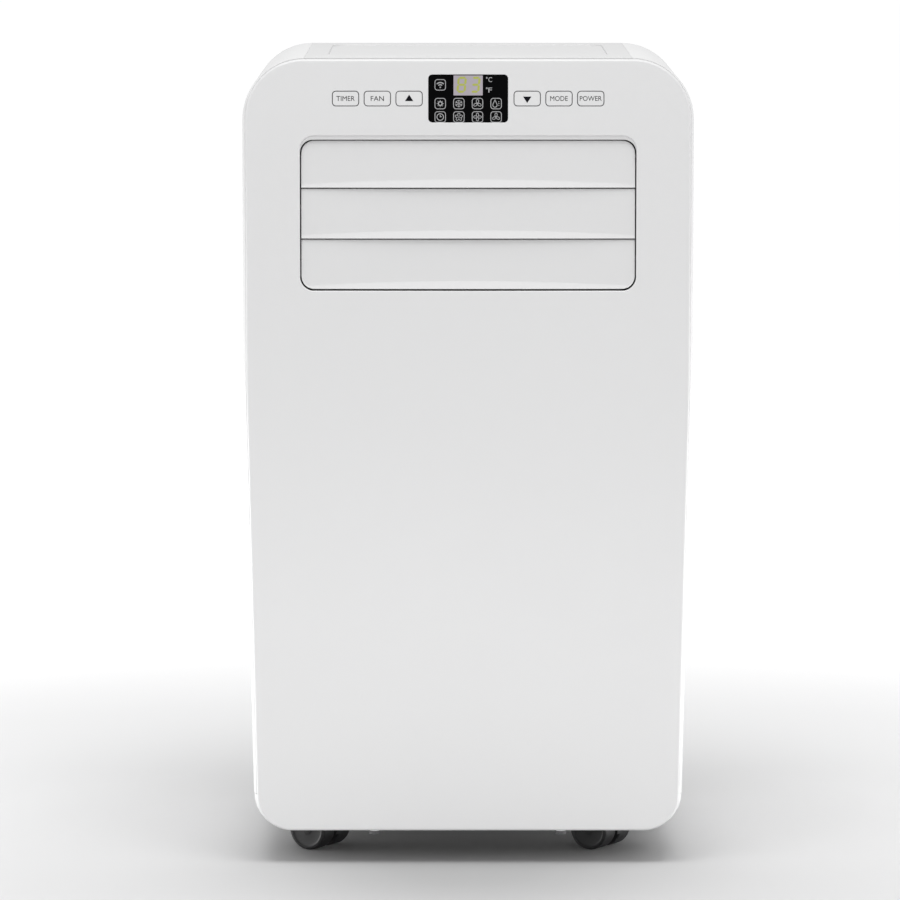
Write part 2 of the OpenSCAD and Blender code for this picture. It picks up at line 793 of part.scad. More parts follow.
module run_capacitor() {
    color("#c7cacc") {
        rod_z(-124, -123, 19, 380.3, 440);
        for (x = [-130, -118]) box([x - 3, x + 3], [-123.5, -122.5], [439, 448]);
    }
}

// ---- Rear fittings ----

module exhaust_collar() {
    tube = 3;
    color("#d7d9da") difference() {
        union() {
            rod_y(exhaust_x, exhaust_z, exhaust_r + tube, cond_y[1] + 2, rear_y - 4);
            rod_y(exhaust_x, exhaust_z, exhaust_r + 11, rear_face + 0.2, rear_face + 2.7);
        }
        rod_y(exhaust_x, exhaust_z, exhaust_r, 0, rear_y + cut);
    }
}

// Filter frame with a grille of flat bars and a pull tab
module filter(z) {
    rim = 9;
    bar = 2.6;
    pitch = 9.5;
    y = [rear_seam - 5 + wall + gap, rear_face - 0.2];
    half = filter_w / 2;
    rows = floor((z[1] - z[0] - 2 * rim) / pitch);
    color("#dfe1e2") {
        difference() {
            box([-half, half], y, z);
            box([-half + rim, half - rim], [0, rear_y], [z[0] + rim, z[1] - rim]);
        }
        for (i = [1 : rows]) {
            low = z[0] + rim + pitch * (i - 0.5);
            box([-half + rim - cut, half - rim + cut], [y[1] - 3, y[1]], [low, low + bar]);
        }
        for (x = [-half / 3, half / 3])
            box([x - 2, x + 2], [y[1] - 6, y[1] - 2], [z[0] + rim - cut, z[1] - rim + cut]);
        box([-16, 16], [y[1] - 2, rear_face + 5], [z[0] + 2, z[0] + 5]);
    }
}

module upper_filter() { filter(upper_window); }
module lower_filter() { filter(lower_window); }

module drain_cap(p) {
    color("#3a3d40") {
        rod_y(p.x, p.y, drain_r - fit, shell_rear - 8, rear_face + 1);
        rod_y(p.x, p.y, 11, rear_face + gap, rear_face + 4);
        box([p.x - 8, p.x + 8], [rear_face + 3, rear_face + 9], [p.y - 1.5, p.y + 1.5]);
    }
}

module upper_drain_cap() { drain_cap(upper_drain); }
module lower_drain_cap() { drain_cap(lower_drain); }

module cable_gland() {
    color("#33363a") difference() {
        union() {
            rod_y(gland.x, gland.y, 7, rear_face - 12, rear_face + 1);
            rod_y(gland.x, gland.y, 10, rear_face + 0.2, rear_face + 6);
            rod_y(gland.x, gland.y, 10, rear_face - 8, rear_face - 3);
        }
        rod_y(gland.x, gland.y, gland_r, 0, rear_y);
    }
}

// ---- Casters ----

// Places a caster drawn with its axle along X at one corner of the cabinet
module at_caster(side, end) {
    translate([side * caster_x, end < 0 ? -front_caster_y : rear_caster_y, 0])
        rotate([0, 0, end < 0 ? caster_turn : 180 - caster_turn]) children();
}

module caster_housing() {
    hood_r = wheel_r + 2;
    hood_in = wheel_r + 0.8;
    half = caster_w / 2;
    color("#1e1f21") {
        difference() {
            union() {
                // Hood over the wheels
                intersection() {
                    rod_x(caster_trail, wheel_r, hood_r, -half, half);
                    box([-half, half], [-50, 50], [wheel_r + 2, 60]);
                }
                // Web between the two discs
                intersection() {
                    rod_x(caster_trail, wheel_r, hood_r - 0.4, -web_t / 2, web_t / 2);
                    box([-half, half], [-50, 50], [wheel_r - 6, 60]);
                }
                rod_z(0, 0, 11, 2 * wheel_r - 1, well_top - 1);
                rod_z(0, 0, stem_r, wheel_r + 4, stem_boss_top - 2);
            }
            // Room for the wheels
            for (x = [[-half - cut, -web_t / 2], [web_t / 2, half + cut]])
                rod_x(caster_trail, wheel_r, hood_in, x[0], x[1]);
            rod_x(caster_trail, wheel_r, axle_r + fit, -half, half);
        }
    }
}

module twin_wheel() {
    half = caster_w / 2 - 0.5;
    inner = web_t / 2 + 0.5;
    color("#2a2c2e") translate([0, caster_trail, wheel_r]) rotate([0, 90, 0]) {
        for (x = [-half, inner]) difference() {
            translate([0, 0, x]) cylinder(r = wheel_r, h = half - inner);
            translate([0, 0, x < 0 ? x - cut : x + half - inner - 2]) cylinder(r = wheel_r - 4, h = 2 + cut);
        }
        translate([0, 0, -half + 1]) cylinder(r = axle_r, h = 2 * half - 2);
    }
}

module front_left_caster() { at_caster(-1, -1) caster_housing(); }
module front_right_caster() { at_caster(1, -1) caster_housing(); }
module rear_left_caster() { at_caster(-1, 1) caster_housing(); }
module rear_right_caster() { at_caster(1, 1) caster_housing(); }
module front_left_wheel() { at_caster(-1, -1) twin_wheel(); }
module front_right_wheel() { at_caster(1, -1) twin_wheel(); }
module rear_left_wheel() { at_caster(-1, 1) twin_wheel(); }
module rear_right_wheel() { at_caster(1, 1) twin_wheel(); }

// ---- Output ----

base_pan();
front_panel();
left_side_panel();
right_side_panel();
top_cover();
rear_panel();
left_handle_cup();
right_handle_cup();
control_board();
display_window();
key_timer();
key_fan();
key_up();
key_down();
key_mode();
key_power();
vent_duct();
louvre_top();
louvre_middle();
louvre_bottom();
louvre_tie_rod();
louvre_motor();
vane_1();
vane_2();
vane_3();
vane_4();
vane_5();
vane_tie_bar();
evaporator_coil();
evaporator_housing();
evaporator_blower();
evaporator_motor();
drip_tray();
condenser_coil();
condenser_housing();
condenser_blower();
condenser_motor();
compressor();
compressor_mounts();
accumulator();
refrigerant_pipes();
splash_wheel();
splash_motor();
electrics_box();
run_capacitor();
exhaust_collar();
upper_filter();
lower_filter();
upper_drain_cap();
lower_drain_cap();
cable_gland();
front_left_caster();
front_left_wheel();
front_right_caster();
front_right_wheel();
rear_left_caster();
rear_left_wheel();
rear_right_caster();
rear_right_wheel();
panel_screws();
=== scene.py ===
"""Portable air conditioner: shells, louvre, keys, display, rear fittings and casters on the CAD frame."""
import math
import bmesh
import bpy
from mathutils import Matrix, Vector
from mathutils.geometry import tessellate_polygon


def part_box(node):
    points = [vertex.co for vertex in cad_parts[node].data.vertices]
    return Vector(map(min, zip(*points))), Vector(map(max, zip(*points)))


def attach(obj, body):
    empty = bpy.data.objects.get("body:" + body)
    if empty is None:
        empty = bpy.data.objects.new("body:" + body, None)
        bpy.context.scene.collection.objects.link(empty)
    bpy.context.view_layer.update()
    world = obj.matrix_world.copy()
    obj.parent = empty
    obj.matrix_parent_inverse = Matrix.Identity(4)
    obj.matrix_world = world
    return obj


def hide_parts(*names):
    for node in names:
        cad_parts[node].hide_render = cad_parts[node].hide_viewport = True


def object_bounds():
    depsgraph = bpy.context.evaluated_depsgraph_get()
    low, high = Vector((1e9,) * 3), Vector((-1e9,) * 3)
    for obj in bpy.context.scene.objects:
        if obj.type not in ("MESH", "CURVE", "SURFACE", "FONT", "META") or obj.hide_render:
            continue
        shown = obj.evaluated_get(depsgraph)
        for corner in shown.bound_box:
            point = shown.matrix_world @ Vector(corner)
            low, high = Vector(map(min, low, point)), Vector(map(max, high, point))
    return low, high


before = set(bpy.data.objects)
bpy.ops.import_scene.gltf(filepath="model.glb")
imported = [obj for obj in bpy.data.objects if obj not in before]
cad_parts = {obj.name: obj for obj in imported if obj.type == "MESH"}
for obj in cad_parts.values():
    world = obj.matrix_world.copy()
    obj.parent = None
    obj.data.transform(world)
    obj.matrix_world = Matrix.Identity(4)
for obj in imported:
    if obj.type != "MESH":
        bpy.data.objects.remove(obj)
CAD_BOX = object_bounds()
CABINET = "cabinet"

# ---- Driving dimensions, in metres ----

MM = 0.001
FRONT = CAD_BOX[0][1]
HALF_W, REAR, TOP = CAD_BOX[1]
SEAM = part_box("front_panel")[1][1] - 1.9 * MM        # back edge of the front panel
GAP_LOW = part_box("rear_panel")[0][2]                 # underside of the cabinet
FOOT_HALF = 192 * MM
BEND_Z = 430 * MM
TOP_R = 55 * MM
LOW_R = 35 * MM
INSET = 3.5 * MM                                     # front panel, in from the outline
LIFT = 2.9 * MM                                      # its upper edge is raised again by this
WALL = 2.5 * MM
PANEL_T = 3 * MM
PANEL_BACK = FRONT + PANEL_T
SHELL_FRONT = FRONT + 12.6 * MM
FLARE_END = FRONT + 25 * MM
SHELL_REAR = REAR - 20 * MM
REAR_SEAM = SHELL_REAR + 0.6 * MM
REAR_FACE = REAR - 12 * MM
TOP_HALF = HALF_W - TOP_R
SIDE_LOW = GAP_LOW + LOW_R

VENT_HALF = 148.5 * MM
VENT_LOW = 515 * MM
VENT_HIGH = 652 * MM
VENT_MID = (VENT_LOW + VENT_HIGH) / 2
VENT_R = 12.5 * MM
KEY_Z = 685 * MM
KEY_W = 24 * MM
KEY_H = 13.8 * MM
KEY_R = 3.4 * MM
DISPLAY_W = 70 * MM
DISPLAY_H = 42 * MM
BLADE_HALF = 147.3 * MM
BLADE_LOW = 516.3 * MM
BLADE_PITCH = 45 * MM


# ---- Outlines ----

def arc(cx, cz, r, start, end, steps):
    """Points of an arc in degrees, in a plane's own two coordinates."""
    out = []
    for i in range(steps + 1):
        a = math.radians(start + (end - start) * i / steps)
        out.append((cx + r * math.cos(a), cz + r * math.sin(a)))
    return out


def top_arc(inset, lift=0.0):
    return arc(HALF_W - TOP_R, TOP - TOP_R + lift, TOP_R - inset, 0, 90, 18)


def outline(inset, lift=0.0):
    """The cabinet's outline moved in by inset, with its upper end raised again by lift."""
    low = arc(FOOT_HALF - LOW_R, GAP_LOW + LOW_R, LOW_R - inset, -90, 0, 12)
    right = low + [(HALF_W - inset, BEND_Z)] + top_arc(inset, lift)
    return right + [(-x, z) for x, z in reversed(right)]


def rounded(cx, cz, w, h, r, steps=6):
    """Rectangle with round corners, counter-clockwise."""
    out = []
    for sx, sz, start in ((1, -1, -90), (1, 1, 0), (-1, 1, 90), (-1, -1, 180)):
        out += arc(cx + sx * (w / 2 - r), cz + sz * (h / 2 - r), r, start, start + 90, steps)
    return out


def circle(cx, cz, r, steps=48):
    return arc(cx, cz, r, 0, 360 * (steps - 1) / steps, steps - 1)


def at_y(points, y):
    return [Vector((x, y, z)) for x, z in points]


def roundover(radius, steps, start=0, end=90):
    """Pairs (in, back) of a quarter round from a face to the side at right angles to it."""
    out = []
    for i in range(steps + 1):
        a = math.radians(start + (end - start) * i / steps)
        out.append((radius * (1 - math.sin(a)), radius * (1 - math.cos(a))))
    return out


# ---- Mesh building ----

class Skin:
    """Collects rings of points and the faces between them."""

    def __init__(self):
        self.points = []
        self.faces = []

    def ring(self, points):
        start = len(self.points)
        self.points.extend(Vector(p) for p in points)
        return list(range(start, len(self.points)))

    def bridge(self, a, b, closed=True):
        count = len(a)
        for i in range(count if closed else count - 1):
            j = (i + 1) % count
            self.faces.append((a[i], a[j], b[j], b[i]))

    def stack(self, rows, closed=True):
        rings = [self.ring(row) for row in rows]
        for a, b in zip(rings, rings[1:]):
            self.bridge(a, b, closed)
        return rings

    def fill(self, loops, normal="y"):
        """Fills a flat outline, with the loops after the first one as holes."""
        u, v = {"x": (1, 2), "y": (0, 2), "z": (0, 1)}[normal]
        flat = [[Vector((self.points[i][u], self.points[i][v], 0)) for i in loop] for loop in loops]
        order = [i for loop in loops for i in loop]
        for tri in tessellate_polygon(flat):
            self.faces.append(tuple(order[k] for k in tri))

    def solid(self, rows, normal="y"):
        """A stack of closed rings with both ends filled."""
        rings = self.stack(rows)
        self.fill([rings[0]], normal)
        self.fill([rings[-1]], normal)
        return rings

    def sweep(self, sections, closed=False):
        """Closed cross-sections joined in order, with flat ends unless the sweep closes on itself."""
        rings = self.stack(sections)
        if closed:
            self.bridge(rings[-1], rings[0])
        else:
            self.faces.append(tuple(rings[0]))
            self.faces.append(tuple(rings[-1]))

    def lathe(self, profile, centre, axis, steps=48):
        """Turns a closed profile of (along, radius) pairs round an axis."""
        axis = Vector(axis).normalized()
        side = axis.orthogonal().normalized()
        other = axis.cross(side)
        sections = []
        for i in range(steps):
            a = 2 * math.pi * i / steps
            out = side * math.cos(a) + other * math.sin(a)
            sections.append([Vector(centre) + axis * u + out * r for u, r in profile])
        self.sweep(sections, closed=True)

    def box(self, low, high, r=0.0, turn=None):
        """Box with bevelled edges."""
        bm = bmesh.new()
        bmesh.ops.create_cube(bm, size=1)
        for v in bm.verts:
            v.co = Vector((low[k] + (v.co[k] + 0.5) * (high[k] - low[k]) for k in range(3)))
        if r:
            bmesh.ops.bevel(bm, geom=bm.edges[:], offset=r, segments=3, profile=0.5, affect="EDGES")
        if turn:
            bmesh.ops.transform(bm, matrix=turn, verts=bm.verts)
        start = len(self.points)
        bm.verts.index_update()
        self.points.extend(v.co.copy() for v in bm.verts)
        self.faces.extend(tuple(start + v.index for v in f.verts) for f in bm.faces)
        bm.free()

    def piece(self, name, body, material, stands_for=(), sharp=35, weld=1e-6):
        mesh = bpy.data.meshes.new(name)
        mesh.from_pydata(self.points, [], self.faces)
        bm = bmesh.new()
        bm.from_mesh(mesh)
        bmesh.ops.remove_doubles(bm, verts=bm.verts, dist=weld)
        bmesh.ops.dissolve_degenerate(bm, edges=bm.edges, dist=weld)
        bmesh.ops.recalc_face_normals(bm, faces=bm.faces)
        for edge in bm.edges:
            edge.smooth = len(edge.link_faces) == 2 and edge.calc_face_angle(0) < math.radians(sharp)
        for face in bm.faces:
            face.smooth = True
        bm.to_mesh(mesh)
        bm.free()
        obj = bpy.data.objects.new(name, mesh)
        bpy.context.scene.collection.objects.link(obj)
        obj.data.materials.append(material)
        normals = obj.modifiers.new("normals", "WEIGHTED_NORMAL")
        normals.keep_sharp = True
        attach(obj, body)
        if stands_for:
            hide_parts(*stands_for)
        return obj


# ---- Materials ----

def material(name, colour, rough, metallic=0.0, vary=0.03, spread=0.04, grain=0.15, grain_scale=1400,
             coat=0.0, gloss=0.5):
    """Procedural surface: slow colour drift, patches of roughness and a moulded or brushed grain."""
    mat = bpy.data.materials.new(name)
    mat.use_nodes = True
    tree = mat.node_tree
    shader = tree.nodes["Principled BSDF"]
    shader.inputs["Metallic"].default_value = metallic
    shader.inputs["Specular IOR Level"].default_value = gloss
    shader.inputs["Coat Weight"].default_value = coat
    shader.inputs["Coat Roughness"].default_value = 0.08
    place = tree.nodes.new("ShaderNodeTexCoord")

    def noise(scale, detail):
        node = tree.nodes.new("ShaderNodeTexNoise")
        node.inputs["Scale"].default_value = scale
        node.inputs["Detail"].default_value = detail
        tree.links.new(place.outputs["Object"], node.inputs["Vector"])
        return node.outputs["Fac"]

    ramp = tree.nodes.new("ShaderNodeValToRGB")
    ramp.color_ramp.elements[0].position = 0.3
    ramp.color_ramp.elements[1].position = 0.7
    ramp.color_ramp.elements[0].color = [c * (1 - vary) for c in colour] + [1]
    ramp.color_ramp.elements[1].color = [min(1, c * (1 + vary)) for c in colour] + [1]
    tree.links.new(noise(7, 3), ramp.inputs["Fac"])
    tree.links.new(ramp.outputs["Color"], shader.inputs["Base Color"])

    span = tree.nodes.new("ShaderNodeMapRange")
    span.inputs["To Min"].default_value = max(0.02, rough - spread)
    span.inputs["To Max"].default_value = min(1, rough + spread)
    tree.links.new(noise(30, 4), span.inputs["Value"])
    tree.links.new(span.outputs["Result"], shader.inputs["Roughness"])

    bump = tree.nodes.new("ShaderNodeBump")
    bump.inputs["Strength"].default_value = grain
    bump.inputs["Distance"].default_value = 0.00004
    tree.links.new(noise(grain_scale, 2), bump.inputs["Height"])
    tree.links.new(bump.outputs["Normal"], shader.inputs["Normal"])
    return mat


def glowing(name, colour, strength, vary=0.08):
    """A display mark whose colour is also given off as a little light of its own."""
    mat = material(name, colour, 0.4, vary=vary)
    shader = mat.node_tree.nodes["Principled BSDF"]
    ramp = next(n for n in mat.node_tree.nodes if n.type == "VALTORGB")
    mat.node_tree.links.new(ramp.outputs["Color"], shader.inputs["Emission Color"])
    shader.inputs["Emission Strength"].default_value = strength
    return mat


FRONT_WHITE = material("front_white", (0.625, 0.625, 0.627), 0.42, vary=0.003)
SIDE_WHITE = material("side_white", (0.66, 0.66, 0.662), 0.42, vary=0.006)
# The top cover gets a greyer white than the front and sides: painted shade that offsets the light falling on
# it from above.
TOP_WHITE_PAINTED_SHADE = material("top_white_painted_shade", (0.575, 0.575, 0.577), 0.5, vary=0.006)
BLADE_WHITE = material("blade_white", (0.612, 0.612, 0.614), 0.42, vary=0.003)
KEY_WHITE = material("key_white", (0.63, 0.63, 0.632), 0.38, vary=0.005)
DUCT_WHITE = material("duct_white", (0.42, 0.425, 0.43), 0.55)
FILTER_WHITE = material("filter_white", (0.66, 0.665, 0.67), 0.5)
NET_GREY = material("net_grey", (0.30, 0.31, 0.32), 0.6)
DISPLAY_BLACK = material("display_black", (0.001, 0.001, 0.0012), 0.12, vary=0.2, spread=0.03, grain=0.02,
                         gloss=0.03)
INK = material("ink", (0.003, 0.003, 0.006), 0.7, vary=0.1, gloss=0.1)
INK_SOFT = material("ink_soft", (0.004, 0.004, 0.005), 0.6, vary=0.1, gloss=0.2)
SEAL = material("key_seal", (0.05, 0.05, 0.054), 0.6, vary=0.1, gloss=0.3)
MARKS = glowing("display_marks", (0.27, 0.27, 0.275), 0.25)
SCREEN = glowing("display_screen", (0.27, 0.245, 0.27), 0.3)
DIGITS = glowing("display_digits", (0.25, 0.27, 0.045), 0.42)
BOARD = material("circuit_board", (0.03, 0.14, 0.06), 0.5, vary=0.25, grain_scale=300)
FINS = material("coil_fins", (0.62, 0.63, 0.64), 0.35, metallic=1, grain=0.5, grain_scale=500)
FAN_DARK = material("fan_plastic", (0.045, 0.048, 0.052), 0.5, vary=0.15)
STEEL = material("steel", (0.50, 0.51, 0.52), 0.38, metallic=1, grain=0.3, grain_scale=700)
BLACK_PAINT = material("compressor_paint", (0.012, 0.012, 0.013), 0.25, vary=0.2, coat=0.4)
# Dark grey of the foot pads: rubber, and painted shade to match the shadow under the cabinet.
FOOT_RUBBER_AND_SHADE = material("foot_rubber_and_shade", (0.1, 0.1, 0.102), 0.7, vary=0.1, gloss=0.3)
RUBBER = material("rubber", (0.02, 0.02, 0.021), 0.75, vary=0.2, grain=0.4)
COPPER = material("copper", (0.72, 0.36, 0.2), 0.3, metallic=1, vary=0.12)
DARK_PLASTIC = material("dark_plastic", (0.03, 0.031, 0.033), 0.45, vary=0.12)
CASTER_BLACK = material("caster_plastic", (0.011, 0.011, 0.0115), 0.5, vary=0.15, gloss=0.35)
CASTER_TREAD = material("caster_tread", (0.011, 0.011, 0.0115), 0.55, vary=0.15, grain=0.3, gloss=0.35)
SCREW_STEEL = material("screw_steel", (0.55, 0.55, 0.56), 0.3, metallic=1)


# ---- Front panel ----

def hole_rows(shape, edge, face, back, steps=4):
    """Rings of a hole with a rounded front edge. shape(grow) gives its outline."""
    rows = [at_y(shape(grow), face + depth) for grow, depth in roundover(edge, steps)]
    return rows + [at_y(shape(0), back)]


def key_places():
    """Name, x and legend of each key."""
    return [("key_timer", -108 * MM, "TIMER"), ("key_fan", -80 * MM, "FAN"), ("key_up", -52 * MM, "up"),
            ("key_down", 52 * MM, "down"), ("key_mode", 80 * MM, "MODE"), ("key_power", 108 * MM, "POWER")]


def front_panel():
    edge = 1.9 * MM
    back_round = 0.5 * MM
    skin = Skin()
    rows = [at_y(outline(INSET + WALL, LIFT), PANEL_BACK), at_y(outline(INSET + WALL, LIFT), SEAM)]
    for inward, back in roundover(back_round, 3):
        rows.append(at_y(outline(INSET + inward, LIFT), SEAM - back))
    for inward, back in reversed(roundover(edge, 6)):
        rows.append(at_y(outline(INSET + inward, LIFT), FRONT + back))
    rings = skin.stack(rows)
    front_loops = [rings[-1]]
    back_loops = [rings[0]]

    def vent(grow):
        high = VENT_HIGH - VENT_LOW + 2 * grow
        return rounded(0, VENT_MID, 2 * VENT_HALF + 2 * grow, high, VENT_R + grow, 10)

    def display_hole(grow):
        gap = 0.15 * MM + grow
        return rounded(0, KEY_Z, DISPLAY_W + 2 * gap, DISPLAY_H + 2 * gap, 3.6 * MM + grow)

    holes = [(vent, 1.1 * MM), (display_hole, 0.5 * MM)]
    for _, x, _ in key_places():
        holes.append((lambda g, x=x: rounded(x, KEY_Z, KEY_W + 2 * g, KEY_H + 2 * g, KEY_R + g), 0.15 * MM))
    for shape, hole_edge in holes:
        hole = skin.stack(hole_rows(shape, hole_edge, FRONT, PANEL_BACK))
        front_loops.append(hole[0])
        back_loops.append(hole[-1])
    skin.fill(front_loops)
    skin.fill(back_loops)
    skin.piece("front_panel_shell", CABINET, FRONT_WHITE, ["front_panel"])


def outlet_bezel():
    """Fixed strip between the opening and the top blade."""
    face = FRONT + 0.9 * MM
    low, high = VENT_LOW + 0.05 * MM, VENT_HIGH - 3.2 * MM
    mid = (low + high) / 2
    outer = rounded(0, VENT_MID, 2 * VENT_HALF, VENT_HIGH - VENT_LOW, VENT_R, 10)
    skin = Skin()
    rows = [at_y(outer, face + 4 * MM), at_y(outer, face)]
    for inward, back in reversed(roundover(0.4 * MM, 3)):
        grow = inward - 0.1 * MM
        rows.append(at_y(rounded(0, mid, 2 * VENT_HALF + 2 * grow, high - low + 2 * grow,
                                 VENT_R - 1 * MM + grow, 10), face + back))
    rows.append(at_y(rounded(0, mid, 2 * VENT_HALF - 0.2 * MM, high - low - 0.2 * MM, VENT_R - 1.1 * MM, 10),
                     face + 4 * MM))
    rings = skin.stack(rows)
    skin.bridge(rings[-1], rings[0])
    skin.piece("outlet_bezel", CABINET, FRONT_WHITE)


# ---- Side panels and top cover ----

def flare_rows(inset_front, steps=8):
    """(y, inset) pairs of the rounded front edge of the side shells."""
    depth = FLARE_END - SHELL_FRONT
    out = []
    for i in range(steps + 1):
        a = math.radians(90 * i / steps)
        out.append((SHELL_FRONT + depth * (1 - math.cos(a)), inset_front * (1 - math.sin(a))))
    return out


def shell_path():
    """(y, inset, lift) round the section of a side shell: inside, front edge, outside, rear edge."""
    edge = INSET - 0.6 * MM
    rows = [(SHELL_REAR, WALL, 0), (FLARE_END, WALL, 0), (SHELL_FRONT + 4 * MM, edge + WALL - 0.6 * MM, LIFT),
            (SHELL_FRONT, edge + WALL, LIFT)]
    rows += [(y, inset, LIFT * inset / edge) for y, inset in flare_rows(edge)]
    for inward, back in reversed(roundover(0.6 * MM, 2)):
        rows.append((SHELL_REAR - back, inward, 0))
    return rows


def outer_field(path):
    """Where the flat outside of a shell starts in its path."""
    return next(k for k, row in enumerate(path) if abs(row[0] - FLARE_END) < 1e-6 and abs(row[1]) < 1e-6)


HANDLE_Y = (-45 * MM, 45 * MM)
HANDLE_Z = (565 * MM, 605 * MM)


def side_panel(side, name):
    """Side shell: strips along the outline, with a flat field in which the handle opening lies."""
    skin = Skin()
    path = shell_path()

    def run(inset, lift):
        return [(FOOT_HALF - inset, SIDE_LOW), (HALF_W - inset, BEND_Z)] + top_arc(inset, lift)

    rings = [skin.ring([(side * x, y, z) for x, z in run(inset, lift)]) for y, inset, lift in path]
    count = len(rings)
    outer_k = outer_field(path)
    for k in range(count):
        a, b = rings[k], rings[(k + 1) % count]
        for i in range(len(a) - 1):
            if i == 1 and k in (0, outer_k):
                continue
            skin.faces.append((a[i], a[i + 1], b[i + 1], b[i]))
    # Ends of the strips, along the bottom and top seams
    skin.faces.append(tuple(r[0] for r in rings))
    skin.faces.append(tuple(r[-1] for r in rings))
    # Flat fields with the handle opening
    hole_mid = ((HANDLE_Y[0] + HANDLE_Y[1]) / 2, (HANDLE_Z[0] + HANDLE_Z[1]) / 2)
    size = (HANDLE_Y[1] - HANDLE_Y[0], HANDLE_Z[1] - HANDLE_Z[0])

    def hole_ring(grow, x):
        return [Vector((side * x, y, z)) for y, z in
                rounded(*hole_mid, size[0] + 2 * grow, size[1] + 2 * grow, 4 * MM + grow)]

    rows = [hole_ring(g, HALF_W - d) for g, d in roundover(0.8 * MM, 3)] + [hole_ring(0, HALF_W - WALL)]
    hole = skin.stack(rows)
    a, b = rings[outer_k], rings[outer_k + 1]
    skin.fill([[a[1], a[2], b[2], b[1]], hole[0]], "x")
    a, b = rings[0], rings[1]
    skin.fill([[a[1], a[2], b[2], b[1]], hole[-1]], "x")
    return skin.piece(name + "_shell", CABINET, SIDE_WHITE, [name])


def top_cover():
    """Top plate between the side panels, with a shallow tray and finger grooves."""
    skin = Skin()
    half = TOP_HALF - 0.12 * MM
    tray_y, tray_w, tray_d, tray_r, tray_depth = 10 * MM, 250 * MM, 210 * MM, 16 * MM, 1.2 * MM
    groove_w, groove_d, groove_r, groove_depth = 2 * half - 16 * MM, 3 * MM, 1.4 * MM, 1 * MM
    path = shell_path()
    rings = []
    for y, inset, lift in path:
        rings.append(skin.ring([(-half, y, TOP - inset + lift), (half, y, TOP - inset + lift)]))
    count = len(rings)
    outer_k = outer_field(path)
    for k in range(count):
        a, b = rings[k], rings[(k + 1) % count]
        if k != outer_k:
            skin.faces.append((a[0], a[1], b[1], b[0]))
    skin.faces.append(tuple(r[0] for r in rings))
    skin.faces.append(tuple(r[1] for r in rings))
    holes = []

    def pocket(cx, cy, w, h, r, depth, edge):
        rows = [[(x, y, TOP - d) for x, y in rounded(cx, cy, w + 2 * g, h + 2 * g, r + g)]
                for g, d in roundover(edge, 3)]
        narrower = 0.3 * MM
        low = rounded(cx, cy, w - 2 * narrower, h - 2 * narrower, r - narrower)
        loops = skin.stack(rows + [[(x, y, TOP - depth) for x, y in low]])
        skin.fill([loops[-1]], "z")
        holes.append(loops[0])

    pocket(0, tray_y, tray_w, tray_d, tray_r, tray_depth, 0.5 * MM)
    for y in (-135.5 * MM, -127.5 * MM, -119.5 * MM):
        pocket(0, y, groove_w, groove_d, groove_r, groove_depth, 0.4 * MM)
    a, b = rings[outer_k], rings[outer_k + 1]
    skin.fill([[a[0], a[1], b[1], b[0]]] + holes, "z")
    # Its white is darkened as painted shade against the light from above.
    skin.piece("top_cover_shell", CABINET, TOP_WHITE_PAINTED_SHADE, ["top_cover"])


# ---- Louvre ----

def blade_section(x, low, rank):
    """Closed cross-section of a blade at x, as points from its head down the front and back up behind."""
    across = min(1, abs(x) / BLADE_HALF)
    bulge = 1 - across * across
    lip = (0.8 + 1.6 * bulge) * MM
    band = (2.6 + 4.2 * bulge) * MM
    corner = 11 * MM
    past = min(corner, max(0, abs(x) - (BLADE_HALF - corner)))
    drop = corner - math.sqrt(corner * corner - past * past)
    foot = low + (drop + 0.3 * MM if rank == 0 else 0)
    head = VENT_HIGH - 4.2 * MM - drop if rank == 2 else low + 44.0 * MM
    face = FRONT + 2.5 * MM
    shoulder = max(low + band, foot + 1.4 * MM)
    middle = max(low + 14 * MM, foot + 5 * MM)
    front = [(face + 1.0 * MM, head - 0.25 * MM), (face + 0.7 * MM, head - 1.1 * MM),
             (face + 0.35 * MM, head - 6 * MM), (face, middle), (face - 0.05 * MM, shoulder + 0.9 * MM),
             (face - 0.2 * MM, shoulder)]
    edge = [(face - lip + 0.25 * MM, foot + 0.9 * MM), (face - lip, foot + 0.45 * MM),
            (face - lip + 0.3 * MM, foot), (face - lip + 2.4 * MM, foot)]
    behind = [(face + 2.2 * MM, shoulder), (face + 2.4 * MM, middle), (face + 3.2 * MM, head - 0.6 * MM),
              (face + 2.8 * MM, head), (face + 1.4 * MM, head)]
    return [Vector((x, y, z)) for y, z in front + edge + behind]


